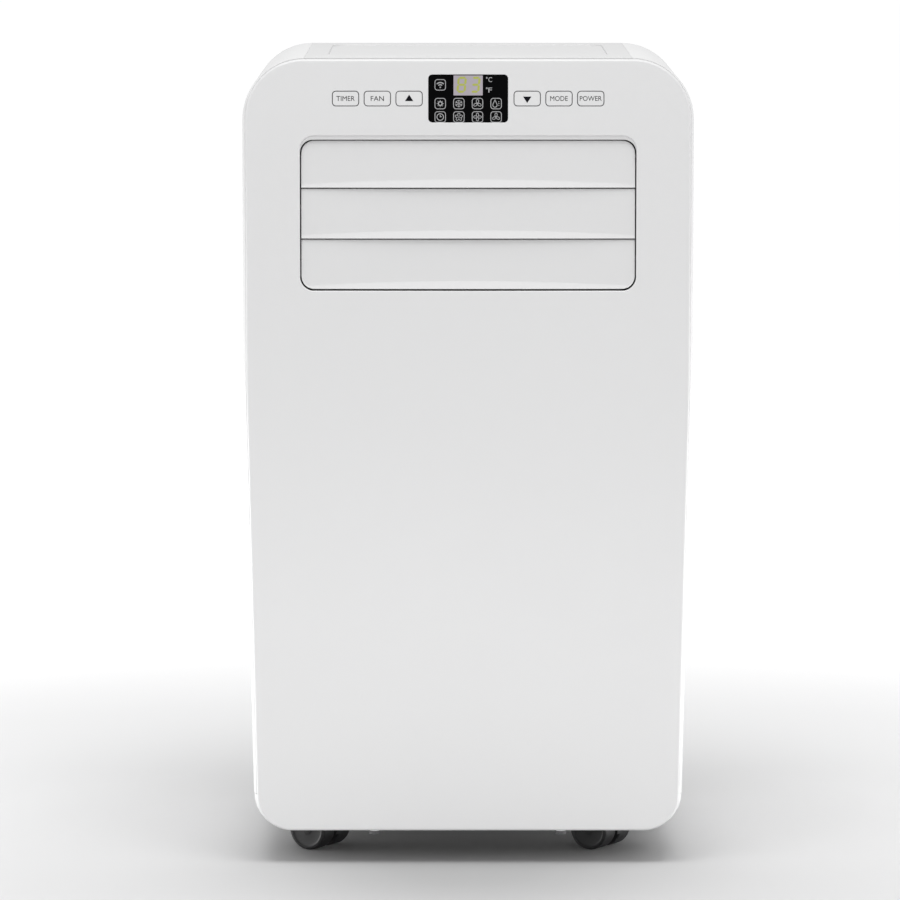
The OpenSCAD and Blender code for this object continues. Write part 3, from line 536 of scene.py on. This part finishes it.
def louvre():
    pivot_y = FRONT + 15 * MM
    pivot_up = 27 * MM
    link_r = 20 * MM
    link = math.radians(50)
    for rank, name in enumerate(("louvre_bottom", "louvre_middle", "louvre_top")):
        low = BLADE_LOW + BLADE_PITCH * rank
        skin = Skin()
        steps = 44
        sections = []
        for i in range(steps + 1):
            sections.append(blade_section(-BLADE_HALF * math.cos(math.pi * i / steps), low, rank))
        skin.sweep(sections)
        pivot_z = low + pivot_up
        for side in (-1, 1):
            inner = side * (BLADE_HALF - 2.5 * MM)
            outer = side * (BLADE_HALF - 0.2 * MM)
            skin.box((min(inner, outer), FRONT + 7 * MM, pivot_z - 4 * MM),
                     (max(inner, outer), pivot_y, pivot_z + 4 * MM), 0.4 * MM)
            lug = [(0, 0), (0, 3.6 * MM), (0.4 * MM, 4 * MM), (2 * MM, 4 * MM), (2.3 * MM, 3.6 * MM),
                   (2.3 * MM, 0)]
            skin.lathe(lug, (inner, pivot_y, pivot_z), (side, 0, 0), 24)
            pin = [(0, 0), (0, 2 * MM), (6.8 * MM, 2 * MM), (7.2 * MM, 1.6 * MM), (7.2 * MM, 0)]
            skin.lathe(pin, (inner, pivot_y, pivot_z), (side, 0, 0), 24)
        arm_at = Vector((-BLADE_HALF + 1.25 * MM, pivot_y, pivot_z))
        turn = Matrix.Translation(arm_at) @ Matrix.Rotation(link, 4, "X")
        skin.box((-1.2 * MM, 0, -3 * MM), (1.2 * MM, link_r, 3 * MM), 0.4 * MM, turn)
        tip = (-BLADE_HALF + 0.1 * MM, pivot_y + link_r * math.cos(link), pivot_z + link_r * math.sin(link))
        boss = [(0, 0), (0, 3.2 * MM), (0.3 * MM, 3.5 * MM), (2.2 * MM, 3.5 * MM), (2.4 * MM, 3.2 * MM),
                (2.4 * MM, 1.5 * MM), (6.8 * MM, 1.5 * MM), (7.0 * MM, 1.2 * MM), (7.0 * MM, 0)]
        skin.lathe(boss, tip, (1, 0, 0), 24)
        skin.piece(name + "_blade", name, BLADE_WHITE, [name], sharp=28)


# ---- Keys and display ----

def flat_piece(name, body, polygons, face, thick, mat):
    """Thin printed shapes: each polygon in X and Z becomes a plate whose front lies at y = face."""
    skin = Skin()
    for polygon in polygons:
        if isinstance(polygon, tuple):
            outer, inner = polygon
            loops = [skin.stack([at_y(p, face), at_y(p, face + thick)]) for p in (outer, inner)]
            for k in (0, 1):
                skin.fill([loops[0][k], loops[1][k]])
        else:
            skin.solid([at_y(polygon, face), at_y(polygon, face + thick)])
    return skin.piece(name, body, mat, sharp=20)


def stroke(points, width, closed=False):
    """Outline of a line of the given width through points. A closed line gives (outer, inner)."""
    pts = [Vector(p) for p in points]
    count = len(pts)
    left, right = [], []
    for i, p in enumerate(pts):
        before = pts[i - 1] if (closed or i) else p
        after = pts[(i + 1) % count] if (closed or i < count - 1) else p
        d0 = (p - before).normalized() if (p - before).length else (after - p).normalized()
        d1 = (after - p).normalized() if (after - p).length else d0
        n = Vector((-(d0.y + d1.y), d0.x + d1.x)).normalized()
        spread = max(0.5, n.dot(Vector((-d1.y, d1.x))))
        left.append(tuple(p + n * width / 2 / spread))
        right.append(tuple(p - n * width / 2 / spread))
    if closed:
        return (left, right)
    return left + right[::-1]


def lettering(name, body, text, centre, width, height, face, mat):
    """Plain lettering fitted to a width and a cap height."""
    curve = bpy.data.curves.new(name, "FONT")
    curve.body = text
    curve.resolution_u = 3
    curve.extrude = 0.5
    carrier = bpy.data.objects.new(name + "_carrier", curve)
    bpy.context.scene.collection.objects.link(carrier)
    bpy.context.view_layer.update()
    mesh = bpy.data.meshes.new_from_object(carrier.evaluated_get(bpy.context.evaluated_depsgraph_get()))
    bpy.data.objects.remove(carrier)
    bpy.data.curves.remove(curve)
    lows = [min(v.co[k] for v in mesh.vertices) for k in range(3)]
    highs = [max(v.co[k] for v in mesh.vertices) for k in range(3)]
    thick = 0.05 * MM
    for v in mesh.vertices:
        x = (v.co.x - (lows[0] + highs[0]) / 2) / (highs[0] - lows[0]) * width + centre[0]
        z = (v.co.y - (lows[1] + highs[1]) / 2) / (highs[1] - lows[1]) * height + centre[1]
        y = face + (0 if v.co.z > 0 else thick)
        v.co = (x, y, z)
    mesh.name = name
    obj = bpy.data.objects.new(name, mesh)
    bpy.context.scene.collection.objects.link(obj)
    mesh.materials.clear()
    mesh.materials.append(mat)
    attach(obj, body)
    return obj


def keys():
    face = FRONT + 0.12 * MM
    print_face = face - 0.04 * MM
    widths = {"TIMER": 16.2 * MM, "FAN": 11.6 * MM, "MODE": 15.4 * MM, "POWER": 19.4 * MM}
    for name, x, legend in key_places():
        skin = Skin()
        w, h, r = KEY_W - 1.5 * MM, KEY_H - 1.5 * MM, 2.7 * MM
        rows = [at_y(rounded(x, KEY_Z, w, h, r), FRONT + 5 * MM)]
        for inward, back in reversed(roundover(0.2 * MM, 3)):
            rows.append(at_y(rounded(x, KEY_Z, w - 2 * inward, h - 2 * inward, r - inward), face + back))
        skin.solid(rows)
        skin.piece(name + "_cap", name, KEY_WHITE, [name])
        seal = (rounded(x, KEY_Z, KEY_W, KEY_H, KEY_R), rounded(x, KEY_Z, w, h, r))
        flat_piece(name + "_seal", CABINET, [seal], FRONT + 0.2 * MM, 0.8 * MM, SEAL)
        if legend in widths:
            lettering(name + "_legend", name, legend, (x, KEY_Z + 0.1 * MM), widths[legend], 4.3 * MM,
                      print_face, INK_SOFT)
        else:
            up = 1 if legend == "up" else -1
            middle = KEY_Z + (0.6 if up > 0 else -1.0) * MM
            points = [(x - 3.7 * MM, middle - up * 2.8 * MM), (x + 3.7 * MM, middle - up * 2.8 * MM),
                      (x, middle + up * 2.9 * MM)]
            flat_piece(name + "_legend", name, [points], print_face, 0.05 * MM, INK)


def fan_mark(cx, cz, size, blades, turn):
    """Strokes of a small fan: outlined petals round a hub."""
    out = []
    for k in range(blades):
        a = math.radians(turn + 360 * k / blades)
        direction = Vector((math.cos(a), math.sin(a)))
        across = Vector((-direction.y, direction.x))
        petal = []
        for i in range(14):
            t = 2 * math.pi * i / 14
            along = size * (0.56 + 0.44 * math.cos(t))
            petal.append(tuple(Vector((cx, cz)) + direction * along + across * size * 0.3 * math.sin(t)))
        out.append(stroke(petal, 0.5 * MM, closed=True))
    out.append(circle(cx, cz, 0.6 * MM, 12))
    return out


def display():
    face = FRONT + 0.45 * MM
    skin = Skin()
    rows = [at_y(rounded(0, KEY_Z, DISPLAY_W, DISPLAY_H, 3.5 * MM), PANEL_BACK)]
    for inward, back in reversed(roundover(0.3 * MM, 3)):
        rows.append(at_y(rounded(0, KEY_Z, DISPLAY_W - 2 * inward, DISPLAY_H - 2 * inward, 3.5 * MM - inward),
                         face + back))
    skin.solid(rows)
    skin.piece("display_lens", CABINET, DISPLAY_BLACK, ["display_window"])
    screen_face = face - 0.06 * MM
    mark_face = screen_face - 0.06 * MM
    thick = 0.08 * MM

    # Readout field with two seven-segment digits
    screen = rounded(-0.05 * MM, KEY_Z + 11.6 * MM, 25.7 * MM, 17.6 * MM, 0.4 * MM, 2)
    flat_piece("display_screen", CABINET, [screen], screen_face, thick, SCREEN)
    segments = {"8": "abcdefg", "3": "abcdg"}
    shapes = []
    for digit, cx in (("8", -5.75 * MM), ("3", 6.35 * MM)):
        w, h, bar = 6.2 * MM, 12.2 * MM, 1.9 * MM
        cz = KEY_Z + 12.2 * MM
        ends = {"a": ((-w / 2, h / 2), (w / 2, h / 2)), "g": ((-w / 2, 0), (w / 2, 0)),
                "d": ((-w / 2, -h / 2), (w / 2, -h / 2)), "f": ((-w / 2, h / 2), (-w / 2, 0)),
                "b": ((w / 2, h / 2), (w / 2, 0)), "e": ((-w / 2, 0), (-w / 2, -h / 2)),
                "c": ((w / 2, 0), (w / 2, -h / 2))}
        for letter in segments[digit]:
            (x0, z0), (x1, z1) = ends[letter]
            run = Vector((x1 - x0, z1 - z0)).normalized()
            across = Vector((-run.y, run.x)) * bar / 2
            a = Vector((x0, z0)) + run * bar * 0.12
            b = Vector((x1, z1)) - run * bar * 0.12
            taper = run * bar / 2
            points = [a, a + taper + across, b - taper + across, b, b - taper - across, a + taper - across]
            shapes.append([(cx + p.x + 0.1 * p.y, cz + p.y) for p in points])
    flat_piece("display_digits", CABINET, shapes, mark_face, thick, DIGITS)

    # Plain icons in rounded frames
    columns = [-24.6 * MM, -8.2 * MM, 8.2 * MM, 24.6 * MM]
    rows_z = [KEY_Z + 12.1 * MM, KEY_Z - 4.4 * MM, KEY_Z - 16.2 * MM]
    line = 0.62 * MM
    shapes = []

    def frame_box(cx, cz):
        shapes.append(stroke(rounded(cx, cz, 9.3 * MM, 9.3 * MM, 2.2 * MM, 4), line, closed=True))

    for cx, cz in [(columns[0], rows_z[0])] + [(c, z) for z in rows_z[1:] for c in columns]:
        frame_box(cx, cz)
    # Wireless mark
    cx, cz = columns[0], rows_z[0] - 2.2 * MM
    for r, w in ((4.2 * MM, 1.0 * MM), (2.3 * MM, 0.9 * MM)):
        shapes.append(stroke(arc(cx, cz, r, 45, 135, 8), w))
    shapes.append(circle(cx, cz, 0.65 * MM, 12))
    # Sun, snowflake, fan and drop
    cx, cz = columns[0], rows_z[1]
    shapes.append(stroke(circle(cx, cz, 1.7 * MM, 20), 1.0 * MM, closed=True))
    for k in range(8):
        a = math.radians(45 * k)
        shapes.append(stroke([(cx + 2.5 * MM * math.cos(a), cz + 2.5 * MM * math.sin(a)),
                              (cx + 3.1 * MM * math.cos(a), cz + 3.1 * MM * math.sin(a))], 0.5 * MM))
    cx = columns[1]
    for k in range(6):
        a = math.radians(60 * k + 30)
        u = Vector((math.cos(a), math.sin(a)))
        v = Vector((-u.y, u.x))
        c = Vector((cx, cz))
        shapes.append(stroke([tuple(c + u * 0.3 * MM), tuple(c + u * 3.3 * MM)], 0.6 * MM))
        shapes.append(stroke([tuple(c + u * 2.9 * MM + v * 1.1 * MM), tuple(c + u * 1.9 * MM),
                              tuple(c + u * 2.9 * MM - v * 1.1 * MM)], 0.5 * MM))
    shapes.extend(fan_mark(columns[2], cz, 3.7 * MM, 3, 90))
    cx = columns[3]
    drop = [(cx - 1.0 * MM, cz + 3.4 * MM)] + arc(cx - 1.0 * MM, cz - 1.3 * MM, 1.9 * MM, 15, -195, 14)
    shapes.append(stroke(drop, 0.6 * MM, closed=True))
    for dz in (-1.6 * MM, 0, 1.6 * MM):
        shapes.append(circle(cx + 2.4 * MM, cz + dz, 0.42 * MM, 10))
    # Clock and the three fan speeds
    cx, cz = columns[0], rows_z[2]
    shapes.append(stroke(circle(cx, cz, 2.9 * MM, 24), 0.7 * MM, closed=True))
    shapes.append(stroke([(cx, cz + 2.0 * MM), (cx, cz), (cx + 1.3 * MM, cz + 0.5 * MM)], 0.6 * MM))
    for k, blades in enumerate((5, 4, 3)):
        shapes.extend(fan_mark(columns[k + 1], cz, 3.5 * MM, blades, 90))
    flat_piece("display_icons", CABINET, shapes, mark_face, thick, MARKS)
    for letter, cz in (("C", KEY_Z + 16.7 * MM), ("F", KEY_Z + 7.5 * MM)):
        lettering("display_unit_" + letter, CABINET, letter, (19.4 * MM, cz), 3.2 * MM, 4.3 * MM,
                  mark_face, MARKS)
        flat_piece("display_degree_" + letter, CABINET,
                   [stroke(circle(16.4 * MM, cz + 1.6 * MM, 0.55 * MM, 14), 0.45 * MM, closed=True)],
                   mark_face, thick, MARKS)


# ---- Rear panel and its fittings ----

EXHAUST = (-70 * MM, 383 * MM)
EXHAUST_R = 75 * MM
WINDOWS = ((490 * MM, 660 * MM), (75 * MM, 285 * MM))
FILTER_HALF = 140 * MM
DRAINS = ((60 * MM, 462 * MM), (0, 48 * MM))
GLAND = (150 * MM, 312 * MM)
SCREW_X = 182 * MM
SCREW_Z = (120 * MM, 300 * MM, 480 * MM, 640 * MM)


def rear_panel():
    depth = REAR_FACE - REAR_SEAM
    rear_round = 6 * MM
    skin = Skin()
    rows = [at_y(outline(WALL + 1 * MM), REAR_FACE - WALL), at_y(outline(WALL), REAR_SEAM)]
    for inward, back in roundover(0.6 * MM, 2):
        rows.append(at_y(outline(inward), REAR_SEAM + back))
    for i in range(9):
        a = math.radians(90 * (1 - i / 8))
        inset = rear_round * (1 - math.sin(a))
        rows.append(at_y(outline(inset), REAR_FACE - (depth - 1 * MM) * (1 - math.cos(a))))
    rings = skin.stack(rows)
    rear_loops, inner_loops = [rings[-1]], [rings[0]]

    def hole(shape, edge):
        rows = [at_y(shape(g), REAR_FACE - d) for g, d in roundover(edge, 3)]
        rows.append(at_y(shape(0), REAR_FACE - WALL))
        loops = skin.stack(rows)
        rear_loops.append(loops[0])
        inner_loops.append(loops[-1])

    for low, high in WINDOWS:
        hole(lambda g, low=low, high=high: rounded(0, (low + high) / 2, 2 * FILTER_HALF + 1 * MM + 2 * g,
                                                   high - low + 1 * MM + 2 * g, 1.2 * MM + g), 0.6 * MM)
    hole(lambda g: circle(*EXHAUST, EXHAUST_R + 3.6 * MM + g, 72), 0.8 * MM)
    hole(lambda g: circle(*GLAND, 7.2 * MM + g, 32), 0.4 * MM)
    for place in DRAINS:
        hole(lambda g, place=place: circle(*place, 6.3 * MM + g, 32), 0.4 * MM)
    for side in (-1, 1):
        for z in SCREW_Z:
            hole(lambda g, side=side, z=z: circle(side * SCREW_X, z, 2.2 * MM + g, 20), 0.3 * MM)
    skin.fill(rear_loops)
    skin.fill(inner_loops)
    skin.piece("rear_panel_shell", CABINET, SIDE_WHITE, ["rear_panel"])

    # Frames round the filters, behind the panel
    for k, (low, high) in enumerate(WINDOWS):
        skin = Skin()
        grow_out, grow_in, ledge = 3 * MM, 0.6 * MM, -6 * MM
        mid = (low + high) / 2

        def ring(grow, y):
            return at_y(rounded(0, mid, 2 * FILTER_HALF + 2 * grow, high - low + 2 * grow, 2 * MM, 3), y)

        front = REAR_SEAM - 5 * MM
        rows = [ring(grow_out, REAR_FACE - WALL), ring(grow_out, front), ring(ledge, front),
                ring(ledge, front + WALL), ring(grow_in, front + WALL), ring(grow_in, REAR_FACE - WALL)]
        rings = skin.stack(rows)
        skin.bridge(rings[-1], rings[0])
        skin.piece("filter_pocket_%d" % (k + 1), CABINET, SIDE_WHITE)

    # Cord hooks: an arm from the panel, and a tip that turns away from the other hook
    skin = Skin()
    left, right, hook_round = 88 * MM, 112 * MM, 0.9 * MM
    for z, up in ((430 * MM, 1), (340 * MM, -1)):
        skin.box((left, REAR_FACE - 1 * MM, z - 3 * MM), (right, REAR - 0.2 * MM, z + 3 * MM), hook_round)
        low, high = sorted((z, z + up * 16 * MM))
        skin.box((left, REAR - 3 * MM, low), (right, REAR, high), hook_round)
    skin.piece("cord_hooks", CABINET, SIDE_WHITE)


def exhaust_collar():
    centre = (EXHAUST[0], 0, EXHAUST[1])
    inner = EXHAUST_R
    outer = inner + 3 * MM
    flange = inner + 11 * MM
    near = 97 * MM
    lip = REAR - 4 * MM
    face = REAR_FACE + 0.2 * MM
    profile = [(near, inner + 0.3 * MM), (near, outer), (face, outer), (face, flange - 0.8 * MM),
               (face + 0.8 * MM, flange), (face + 1.7 * MM, flange), (face + 2.5 * MM, flange - 0.8 * MM),
               (face + 2.5 * MM, outer + 1.4 * MM), (face + 3.2 * MM, outer + 0.3 * MM),
               (face + 3.8 * MM, outer), (lip - 1 * MM, outer), (lip - 0.2 * MM, outer - 0.5 * MM),
               (lip, outer - 1.2 * MM), (lip, inner + 1.2 * MM), (lip - 0.3 * MM, inner + 0.5 * MM),
               (lip - 1 * MM, inner + 0.1 * MM)]
    skin = Skin()
    skin.lathe(profile, centre, (0, 1, 0), 96)
    # Bayonet ribs that the hose end turns on to
    for k in range(3):
        a = math.radians(120 * k + 20)
        turn = Matrix.Translation(Vector(centre)) @ Matrix.Rotation(a, 4, "Y")
        skin.box((inner - 2.2 * MM, lip - 12 * MM, -9 * MM), (inner + 0.5 * MM, lip - 9 * MM, 9 * MM),
                 0.7 * MM, turn)
    skin.piece("exhaust_collar_ring", CABINET, DUCT_WHITE, ["exhaust_collar"])


def filter_nets():
    """Fine net behind the bars of each filter."""
    for name in ("upper_filter", "lower_filter"):
        low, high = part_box(name)
        bottom, top = low[2] + 8 * MM, high[2] - 8 * MM
        half = FILTER_HALF - 8 * MM
        y = REAR_FACE - 7.2 * MM
        skin = Skin()
        wire = 0.45 * MM
        pitch = 4.2 * MM
        count = int(2 * half / pitch)
        for i in range(count + 1):
            x = -half + 2 * half * i / count
            skin.box((x - wire / 2, y, bottom), (x + wire / 2, y + wire, top))
        count = int((top - bottom) / pitch)
        for i in range(count + 1):
            z = bottom + (top - bottom) * i / count
            skin.box((-half, y + wire * 0.4, z - wire / 2), (half, y + wire * 1.4, z + wire / 2))
        skin.piece(name + "_net", name, NET_GREY)


# ---- Casters and feet ----

def foot_pads():
    """Rubber pads over the two feet under the front edge. Their dark grey is rubber and also painted shade,
    matching the shadow under the cabinet.
    """
    foot_x, foot_y = 83.5 * MM, FRONT + 22 * MM
    skin = Skin()
    pad = [(0, 0), (0, 5.2 * MM), (2.8 * MM, 5.2 * MM), (3.1 * MM, 4.9 * MM), (3.1 * MM, 0)]
    for side in (-1, 1):
        skin.lathe(pad, (side * foot_x, foot_y, GAP_LOW), (0, 0, -1), 28)
    skin.piece("foot_pads", CABINET, FOOT_RUBBER_AND_SHADE)


CASTER_X = 127.5 * MM
FRONT_CASTER_Y = 89 * MM
REAR_CASTER_Y = 105 * MM
CASTER_HALF = 22 * MM
CASTER_TRAIL = 8 * MM                                # axle behind the stem
CASTER_TURN = math.radians(56)
WHEEL_R = 19.5 * MM


def twin_wheel(name, place):
    """Two discs with crowned treads and dished faces, on one axle."""
    axle = place @ Vector((0, CASTER_TRAIL, WHEEL_R))
    along = place.to_3x3() @ Vector((1, 0, 0))
    inner, outer = 4.0 * MM, CASTER_HALF - 0.6 * MM
    tread = [(inner, 0), (inner, WHEEL_R - 1.2 * MM), (inner + 0.4 * MM, WHEEL_R - 0.4 * MM),
             (inner + 1.4 * MM, WHEEL_R), (outer - 2.4 * MM, WHEEL_R), (outer - 1.0 * MM, WHEEL_R - 0.4 * MM),
             (outer - 0.2 * MM, WHEEL_R - 1.4 * MM)]
    dish = [(outer, WHEEL_R - 2.8 * MM), (outer - 0.5 * MM, WHEEL_R - 3.6 * MM),
            (outer - 1.0 * MM, WHEEL_R - 5 * MM), (outer - 0.8 * MM, 6 * MM), (outer - 0.2 * MM, 5 * MM),
            (outer, 4 * MM), (outer + 0.2 * MM, 0)]
    skin = Skin()
    for side in (-1, 1):
        skin.lathe(tread + dish, axle, along * side, 64)
    axle_half, axle_r = inner + 1 * MM, 3 * MM
    skin.lathe([(-axle_half, 0), (-axle_half, axle_r), (axle_half, axle_r), (axle_half, 0)], axle, along, 24)
    skin.piece(name + "_twin_wheel", name + "_wheel", CASTER_TREAD, [name + "_wheel"])


def caster_housing(name, place):
    """Hood over both discs, web between them and the stem."""
    half, steps = CASTER_HALF, 32
    hood_r, hood_in = WHEEL_R + 2 * MM, WHEEL_R + 0.8 * MM
    hood = [(-half, hood_in), (-half, hood_r - 0.4 * MM), (-half + 0.4 * MM, hood_r),
            (half - 0.4 * MM, hood_r), (half, hood_r - 0.4 * MM), (half, hood_in)]

    def around(x, r, degrees):
        a = math.radians(degrees)
        return place @ Vector((x, CASTER_TRAIL + r * math.cos(a), WHEEL_R + r * math.sin(a)))

    skin = Skin()
    skin.sweep([[around(x, r, 6 + 168 * i / steps) for x, r in hood] for i in range(steps + 1)])
    rows = [[around(x, hood_r - 0.4 * MM, -16 + 212 * i / steps) for i in range(steps + 1)]
            for x in (-3.5 * MM, 3.5 * MM)]
    for ring in skin.stack(rows):
        skin.faces.append(tuple(ring))
    stem = [(38 * MM, 0), (38 * MM, 10.6 * MM), (38.4 * MM, 11 * MM), (46 * MM, 11 * MM),
            (46.4 * MM, 10.6 * MM), (46.4 * MM, 5 * MM), (59.6 * MM, 5 * MM), (60 * MM, 4.6 * MM),
            (60 * MM, 0)]
    skin.lathe(stem, place @ Vector((0, 0, 0)), (0, 0, 1), 40)
    skin.piece(name + "_caster_body", name + "_caster", CASTER_BLACK, [name + "_caster"])


def casters():
    """Front casters are turned one way and rear casters the other, each about its stem."""
    ends = (("front", -FRONT_CASTER_Y, CASTER_TURN), ("rear", REAR_CASTER_Y, math.pi - CASTER_TURN))
    for end, y, turn in ends:
        for side_name, side in (("left", -1), ("right", 1)):
            pivot = Vector((side * CASTER_X, y, 0))
            place = Matrix.Translation(pivot) @ Matrix.Rotation(turn, 4, "Z")
            twin_wheel(end + "_" + side_name, place)
            caster_housing(end + "_" + side_name, place)


# ---- CAD nodes that keep their own shape ----

CAD_FINISH = {
    "base_pan": SIDE_WHITE, "left_handle_cup": SIDE_WHITE, "right_handle_cup": SIDE_WHITE,
    "control_board": BOARD, "vent_duct": DUCT_WHITE, "louvre_tie_rod": DUCT_WHITE, "louvre_motor": STEEL,
    "vane_tie_bar": DUCT_WHITE, "evaporator_coil": FINS, "evaporator_housing": DUCT_WHITE,
    "evaporator_blower": FAN_DARK, "evaporator_motor": STEEL, "drip_tray": DUCT_WHITE, "condenser_coil": FINS,
    "condenser_housing": FAN_DARK, "condenser_blower": FAN_DARK, "condenser_motor": STEEL,
    "compressor": BLACK_PAINT, "compressor_mounts": RUBBER, "accumulator": BLACK_PAINT,
    "refrigerant_pipes": COPPER, "splash_wheel": FAN_DARK, "splash_motor": STEEL, "electrics_box": STEEL,
    "run_capacitor": STEEL, "upper_filter": FILTER_WHITE, "lower_filter": FILTER_WHITE,
    "upper_drain_cap": DARK_PLASTIC, "lower_drain_cap": DARK_PLASTIC, "cable_gland": DARK_PLASTIC,
    "panel_screws": SCREW_STEEL,
}
CAD_FINISH.update({"vane_%d" % k: DUCT_WHITE for k in range(1, 6)})


def finish_cad_nodes():
    round_edge = 0.35 * MM
    for name, mat in CAD_FINISH.items():
        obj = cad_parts[name]
        if not obj.material_slots:
            obj.data.materials.append(mat)
        for place in obj.material_slots:
            place.material = mat
        weld = obj.modifiers.new("weld", "WELD")
        weld.merge_threshold = 0.00001
        bevel = obj.modifiers.new("edges", "BEVEL")
        bevel.width = round_edge
        bevel.segments = 2
        bevel.limit_method = "ANGLE"
        bevel.angle_limit = math.radians(50)
        normals = obj.modifiers.new("normals", "WEIGHTED_NORMAL")
        normals.keep_sharp = True


# ---- Floor, light and camera ----

SHADOW_Y = -0.2                                      # middle of the painted shadow, the darker ground round the front edge
# Painted shadow on the floor: (distance from the point at SHADOW_Y, grey) pairs, darker near the object
FLOOR_PAINTED_SHADOW = ((0.08, 0.41), (0.2, 0.57), (0.3, 0.63), (0.42, 0.67), (0.55, 0.75), (0.75, 0.81), (1.0, 0.87))
GLOW_FROM = 0.9                                      # from here on a painted glow turns the ground white
GLOW_TO = 1.7
FAR_GLOW = 0.4
WORLD = 0.72
KEY_LIGHT = 50
SIDE_LIGHT = 1.95
FRONT_FILL = 0.55


def floor():
    """Wide pale floor with a painted shadow: its grey is darker near the object, and a painted glow fades it
    to white further out. Each painted shade starts at its distance.
    """
    half = 60.0
    corners = [(-half, -half, 0), (half, -half, 0), (half, half, 0), (-half, half, 0)]
    mesh = bpy.data.meshes.new("floor")
    mesh.from_pydata(corners, [], [(0, 1, 2, 3)])
    obj = bpy.data.objects.new("floor", mesh)
    bpy.context.scene.collection.objects.link(obj)
    obj.location.y = SHADOW_Y
    mat = material("floor_white_painted_shadow", (0.9, 0.9, 0.902), 0.9, grain=0.0, gloss=0.0)
    tree = mat.node_tree
    shader = tree.nodes["Principled BSDF"]
    place = next(n for n in tree.nodes if n.type == "TEX_COORD")
    ramp = next(n for n in tree.nodes if n.type == "VALTORGB")
    reach = tree.nodes.new("ShaderNodeVectorMath")
    reach.operation = "LENGTH"
    tree.links.new(place.outputs["Object"], reach.inputs[0])
    tree.links.new(reach.outputs["Value"], ramp.inputs["Fac"])
    stops = ramp.color_ramp
    stops.interpolation = "B_SPLINE"
    for k, (distance, shade) in enumerate(FLOOR_PAINTED_SHADOW):
        stop = stops.elements[k] if k < 2 else stops.elements.new(distance)
        stop.position = distance
        stop.color = (shade, shade, shade * 1.003, 1)
    # Painted glow: the floor gives off white light further from the object
    fade = tree.nodes.new("ShaderNodeMapRange")
    fade.interpolation_type = "SMOOTHSTEP"
    fade.inputs["From Min"].default_value = GLOW_FROM
    fade.inputs["From Max"].default_value = GLOW_TO
    tree.links.new(reach.outputs["Value"], fade.inputs["Value"])
    glow = tree.nodes.new("ShaderNodeMath")
    glow.operation = "MULTIPLY"
    glow.inputs[1].default_value = FAR_GLOW
    tree.links.new(fade.outputs["Result"], glow.inputs[0])
    shader.inputs["Emission Color"].default_value = (1, 1, 1, 1)
    tree.links.new(glow.outputs["Value"], shader.inputs["Emission Strength"])
    obj.data.materials.append(mat)


def area_light(name, place, aim, size, power, spread=180):
    data = bpy.data.lights.new(name, "AREA")
    data.shape = "RECTANGLE"
    data.size, data.size_y = size
    data.energy = power
    data.spread = math.radians(spread)
    obj = bpy.data.objects.new(name, data)
    bpy.context.scene.collection.objects.link(obj)
    obj.location = place
    obj.rotation_euler = (Vector(aim) - Vector(place)).to_track_quat("-Z", "Y").to_euler()
    obj.visible_camera = False


def lights():
    world = bpy.data.worlds.new("studio")
    world.use_nodes = True
    back = world.node_tree.nodes["Background"]
    back.inputs["Color"].default_value = (1, 1, 1, 1)
    back.inputs["Strength"].default_value = WORLD
    bpy.context.scene.world = world
    area_light("key_above", (0.0, -1.0, 2.9), (0, 0, 0.3), (2.2, 1.4), KEY_LIGHT)
    for side in (-1, 1):
        area_light("low_side_%d" % (side + 1), (side * 1.6, 0.15, 0.045), (0, 0.05, 0.2), (0.9, 0.07),
                   SIDE_LIGHT, 50)
    area_light("front_fill", (0, -1.1, 0.05), (0, FRONT, 0.03), (1.1, 0.08), FRONT_FILL, 70)


def camera():
    pitch = math.radians(6.75)
    reach = 4.88
    aim = Vector((-0.016, FRONT, 0.3734))
    data = bpy.data.cameras.new("photo_camera")
    data.sensor_width = 36
    data.lens = 220
    data.clip_end = 200
    obj = bpy.data.objects.new("photo_camera", data)
    bpy.context.scene.collection.objects.link(obj)
    obj.location = aim + Vector((0, -reach * math.cos(pitch), reach * math.sin(pitch)))
    obj.rotation_euler = (math.pi / 2 - pitch, 0, 0)
    bpy.context.scene.camera = obj


def view_settings():
    view = bpy.context.scene.view_settings
    view.view_transform = "Standard"
    view.look = "None"
    view.exposure = 0.0


front_panel()
outlet_bezel()
side_panel(-1, "left_side_panel")
side_panel(1, "right_side_panel")
top_cover()
louvre()
keys()
display()
rear_panel()
exhaust_collar()
filter_nets()
foot_pads()
casters()
finish_cad_nodes()
floor()
lights()
camera()
view_settings()
